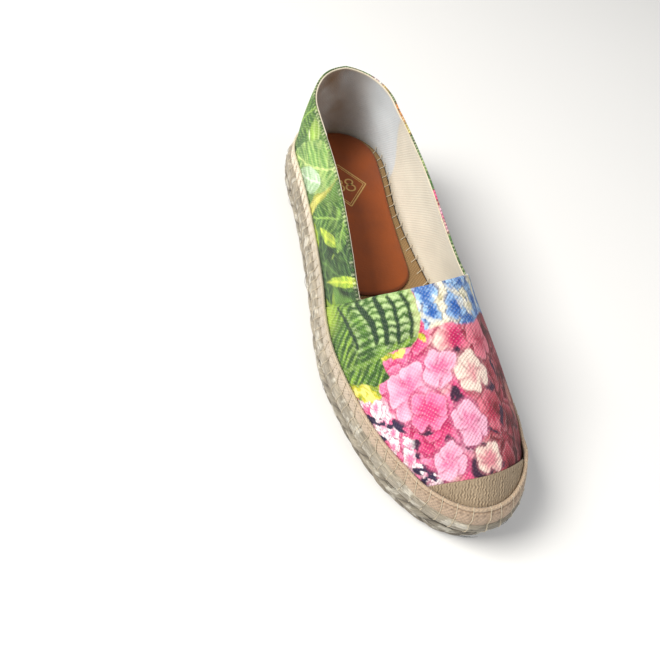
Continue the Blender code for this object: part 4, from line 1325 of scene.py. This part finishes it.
tread = {"thickness": 2.5 * mm, "inset": 6.0 * mm, "hollow": 0.5 * mm, "columns": 360}


def slab(name, plans, heights, paint=None):
    # rings of points from bottom to top, with a face at each end
    rings = [lifted(plan, height) for plan, height in zip(plans, heights)]
    return gridMesh(name, np.stack(rings), None, paint, closeRows=False)


def rubber():
    # vulcanised rubber, dark brown, matt from wear, with moulded pimples too fine to model
    material, tree = newMaterial("vulcanisedRubber", 0.72, 0.4)
    place = addNode(tree, "ShaderNodeTexCoord").outputs["Object"]
    base = speckled(tree, place, 60.0, 5.0, "#241f1c", "#4a423a")[0]
    pimples = addNode(tree, "ShaderNodeTexVoronoi", {"Vector": place, "Scale": 420.0}).outputs[0]
    return coat(material, base, pimples, 0.5, 0.5 * mm)


def makeOutsole(material):
    turn = np.linspace(0, 2, tread["columns"], endpoint=False)
    edge = insetEdge(turn, tread["inset"])
    hollow = insetEdge(turn, tread["inset"] + tread["hollow"])
    thick = tread["thickness"]
    middle = edge * np.array([0.02, 0.75])
    plans = [middle, (hollow + middle) / 2, hollow, edge, edge, hollow, middle]
    heights = [0, 0, 0, 0.4 * mm, thick - 0.3 * mm, thick, thick]
    dress(slab("rubberSole", plans, heights), "outsole_rubber", material, "outsole")


# Insole and heel sock

inside = {
    "insole": 1.5 * mm, "clearance": 0.7 * mm, "columns": 480, "stitchPitch": 8.0, "threadRadius": 0.27 * mm,
}
sock = {
    "thickness": 2.5 * mm, "back": 8.5 * mm, "length": 125 * mm, "half": 23 * mm,
    "columns": 360, "rings": 120,
    "plan": table("along middle half", ((0, .02, 1.02), (.25, -.04, 1.01), (.6, -.14, .92), (1, -.22, .90))),
    "bottom": last["soleTop"] + 2 * last["gap"] + inside["insole"],
    "stampX": -4.0, "stampY": 72.0, "stampRadius": 17.0,
}


def insoleCloth():
    # jute board faced with woven cotton, darkened by wear: dull brown
    material, tree = newMaterial("cottonFacedBoard", 0.9, 0.2)
    place = addNode(tree, "ShaderNodeTexCoord").outputs["Object"]
    inMm = {"Vector": place, "Scale": (1 / mm, 1 / mm, 1 / mm)}
    scaled = addNode(tree, "ShaderNodeMapping", inMm).outputs[0]
    base = speckled(tree, scaled, 0.05, 6.0, "#84694a", "#ab8c62")[0]
    return coat(material, base, weave(tree, scaled, 0.9), 0.5, 0.4 * mm)


def makeInsole(material):
    turn = np.linspace(0, 2, inside["columns"], endpoint=False)
    centre, normals = lastLevel(turn, inside["insole"] + last["gap"])
    plan = (centre - normals * (last["wall"] + inside["clearance"]))[:, :2]
    spine = plan * np.array([0.0, 0.8])
    shrunk = [spine + (plan - spine) * share for share in (0.02, 0.4, 0.75, 0.97, 1.0)]
    low = last["soleTop"] + last["gap"]
    high = low + inside["insole"]
    heights = [low] * 5 + [high - 0.4 * mm, high - 0.1 * mm] + [high] * 4
    piece = slab("insoleCloth", shrunk + [plan] + shrunk[::-1], heights)
    dress(piece, "insole_cloth", material, "insole")


def leather():
    # vegetable tanned cowhide over thin foam: warm tan, soft gloss, fine grain, darker towards the heel end,
    # with painted shadow along its rounded edge
    material, tree = newMaterial("vegetableTannedLeather", 0.5, 0.4)
    paint = clothMap(tree)[1]
    place = addNode(tree, "ShaderNodeTexCoord").outputs["Object"]
    grain = addNode(tree, "ShaderNodeTexVoronoi", {"Vector": place, "Scale": 900.0}).outputs[0]
    wear = addNode(tree, "ShaderNodeTexNoise", {"Vector": place, "Scale": 70.0, "Detail": 5.0}).outputs[0]
    rough = addNode(tree, "ShaderNodeMapRange", {0: wear, 1: 0.3, 2: 0.7, 3: 0.42, 4: 0.6})
    tree.links.new(rough.outputs[0], tree.nodes["Principled BSDF"].inputs["Roughness"])
    return coat(material, toned(tree, paint, wear, 0.86, 1.1), grain, 0.25, 0.2 * mm)


def sockPlan(along):
    # middle line and half width of the sock at a share of its length from the heel
    return [sock["half"] * smoothTable(sock["plan"], column, along) for column in ("middle", "half")]


def sockDome(share):
    # height at a share of the way from the middle to the side: a superellipse, flat in the middle
    return sock["bottom"] + sock["thickness"] * (0.25 + 0.75 * (1 - share ** 9) ** 0.6)


def makeSock(material):
    turn = np.linspace(0, 2, sock["columns"], endpoint=False)
    along = (1 - np.cos(pi * turn)) / 2
    y = last["length"] / 2 - sock["back"] - sock["length"] * along
    middle, half = sockPlan(along)
    ends = endRound(along, 0.22, 2.1) * endRound(1 - along, 0.14, 2.4)
    plan = np.stack([middle + np.where(turn <= 1, -1, 1) * half * ends, y], -1)
    heart = np.stack([middle, np.clip(y, 0.045, 0.1)], -1)
    underside = (0.02, 0.5, 0.97)
    shares = np.linspace(0, 1, sock["rings"])[::-1] ** 0.75
    plans = [heart + (plan - heart) * s for s in (*underside, *np.maximum(shares, 0.01))]
    heights = [sock["bottom"]] * len(underside) + list(sockDome(shares))
    # painted shadow along the rounded edge and on the underside; the heel end is darker
    rim = np.concatenate([np.ones(len(underside)), ramp(shares, 0.955, 0.985)])[:, None, None]
    rear = ramp(np.stack(plans)[..., 1:] / mm, 84, 116)
    paint = srgb("#96491a") * (1 - 0.35 * rear) * (1 - 0.45 * rim)
    piece = slab("heelSock", plans, heights, paint)
    dress(piece, "tan_leather", material, "heel_sock")


def makeInnerStitches(material):
    # the same threads seen inside: short bars from the insole's edge up the foot of the wall
    turn = stitchTurns(round(aroundMm / inside["stitchPitch"]), 0.5) % 2.0
    turn = turn[np.abs(distanceRound(turn)) > 30]
    centre = lastSurface(turn, footRows(turn, 3.2 * mm))
    out = outward(turn)
    slant = sideways(out)
    corner = centre - out * (last["wall"] + inside["clearance"] + 0.1 * mm)
    corner[:, 2] = last["soleTop"] + last["gap"] + inside["insole"] + 0.25 * mm + spring(corner[:, 1])
    levels = []
    # millimetres away from the wall, up, and along the shoe
    for away, rise, shift in ((3.4, -0.5, -1.6), (3.0, 0.05, -1.4), (1.8, 0.1, -0.8), (0.7, 0.2, -0.3),
                              (0.1, 0.9, 0.2), (-0.1, 1.8, 0.6), (-0.5, 2.3, 0.8)):
        levels.append(corner - out * away * mm + slant * shift * mm + np.array([0, 0, rise * mm]))
    piece = tubes("innerStitches", np.stack(levels, axis=1), inside["threadRadius"])
    dress(piece, "strip_cotton", material)


def goldFoil():
    # hot pressed gold foil: thin, slightly worn, satin metal
    material, tree = newMaterial("pressedGoldFoil", 0.42, metallic=0.55)
    place = addNode(tree, "ShaderNodeTexCoord").outputs["Object"]
    return coat(material, speckled(tree, place, 500.0, 3.0, "#c99b4e", "#f0cf8c")[0])


def sockTop(x, y):
    # height of the sock's dome, from how far a place lies towards its side
    along = np.clip((last["length"] / 2 - sock["back"] - y) / sock["length"], 0, 1)
    middle, half = sockPlan(along)
    return sockDome(np.clip(np.abs(x - middle) / half, 0, 1))


def arc(x, y, rx, ry, start, end):
    angle = np.radians(np.linspace(start, end, 25))
    return np.stack([x + rx * np.cos(angle), y + ry * np.sin(angle)], -1)


def makeStamp(material):
    # a plain lozenge with a size number in it, as flat ribbons just proud of the leather; in millimetres
    lines = []
    for scale, width in ((1.0, 0.75), (0.88, 0.4)):
        corners = np.array([(0, 1.0), (0.78, 0), (0, -1.0), (-0.78, 0), (0, 1.0)])
        corners = corners * sock["stampRadius"] * scale
        for start, end in zip(corners[:-1], corners[1:]):
            lines.append((start + (end - start) * np.linspace(0, 1, 12)[:, None], width))
    for numbers in ((-3.3, 2.2, 2.4, 2.2, 150, -90), (-3.3, -2.5, 2.7, 2.5, 90, -150),
                    (3.4, 2.2, 2.2, 2.1, 0, 360), (3.4, -2.5, 2.6, 2.5, 0, 360)):
        lines.append((arc(*numbers), 0.95))
    ribbons = []
    for line, width in lines:
        along = unit(np.gradient(line, axis=0))
        side = np.stack([-along[:, 1], along[:, 0]], -1) * width / 2
        place = (np.stack([line + side, line - side], 1) + np.array([sock["stampX"], sock["stampY"]])) * mm
        top = sockTop(place[..., 0], place[..., 1])
        upper, lower = (np.concatenate([place, (top + rise * mm)[..., None]], -1) for rise in (0.04, -0.25))
        ribbons.append(np.concatenate([upper, lower[:, ::-1]], axis=1))
    piece = joinTubes("sizeStamp", ribbons)
    piece.data.shade_flat()
    dress(piece, "tan_leather", material)


# Stage: paper, two soft lights, and a camera fitted from points of the photo

stage = {
    "paperHalf": 3.0, "paperTint": "#f4f5f7", "daylight": 0.3, "aim": (0, 0, 0.04),
    "lights": table("name place size power tint", (
        ("key", (-0.85, 0.1, 0.95), 0.55, 20.0, "#fffdf8"), ("fill", (0.6, -0.8, 0.8), 1.0, 5.0, "#fbfcff"))),
    # the camera's place and its right, up and backward directions; lens in widths of a 36 mm sensor
    "cameraPlace": (-0.1144, -0.1709, 0.2685), "sensor": 36, "lensWidths": 600 / 660,
    "cameraTurn": ((0.95696, -0.23463, 0.17083), (0.10602, 0.83053, 0.54679), (-0.27018, -0.50515, 0.81965)),
}


def seamlessPaper():
    # matt white paper roll: the faintest unevenness
    material, tree = newMaterial("paperBackdrop", 0.95, 0.1)
    place = addNode(tree, "ShaderNodeTexCoord").outputs["Object"]
    return coat(material, speckled(tree, place, 3.0, 2.0, "#f1f0ee", "#f6f5f3")[0])


def makeStage():
    corners = np.array([(-1, -1, 0), (1, -1, 0), (1, 1, 0), (-1, 1, 0)]) * stage["paperHalf"]
    floor = buildMesh("floor", corners, np.arange(4), [4])
    floor.data.materials.append(seamlessPaper())
    world = bpy.data.worlds.new("studio")
    bpy.context.scene.world = world
    world.use_nodes = True
    background = world.node_tree.nodes["Background"]
    background.inputs["Color"].default_value = colour(stage["paperTint"])
    background.inputs["Strength"].default_value = stage["daylight"]
    bpy.context.scene.view_settings.view_transform = "Standard"


def softLight(row):
    light = bpy.data.lights.new(row["name"], "AREA")
    light.size = row["size"]
    light.energy = row["power"]
    light.color = tuple(srgb(row["tint"]))
    lamp = bpy.data.objects.new(row["name"], light)
    lamp.location = row["place"]
    direction = mathutils.Vector(stage["aim"]) - mathutils.Vector(row["place"])
    lamp.rotation_euler = direction.to_track_quat("-Z", "Y").to_euler()
    bpy.context.scene.collection.objects.link(lamp)


def makeCamera():
    lens = bpy.data.cameras.new("camera")
    lens.sensor_width = stage["sensor"]
    lens.lens = stage["sensor"] * stage["lensWidths"]
    lens.clip_start = 0.01
    camera = bpy.data.objects.new("camera", lens)
    turned = mathutils.Matrix(stage["cameraTurn"]).transposed().to_4x4()
    camera.matrix_world = mathutils.Matrix.Translation(stage["cameraPlace"]) @ turned
    bpy.context.scene.collection.objects.link(camera)
    bpy.context.scene.camera = camera


makeCamera()
makeStage()
for lightRow in stage["lights"]:
    softLight(lightRow)
print("stage ready")
canvasCloth = printedCanvas()
makeVamp(canvasCloth)
makeQuarters(canvasCloth)
makeLining(liningCloth())
makeCap(linen())
makeStrip(stripCloth())
yarn = juteYarn()
makeJute(yarn)
makeHairs(yarn)
threads = tanThread()
makeStitches(threads)
makeOutsole(rubber())
makeInsole(insoleCloth())
makeInnerStitches(threads)
makeSock(leather())
makeStamp(goldFoil())
print("all pieces made")
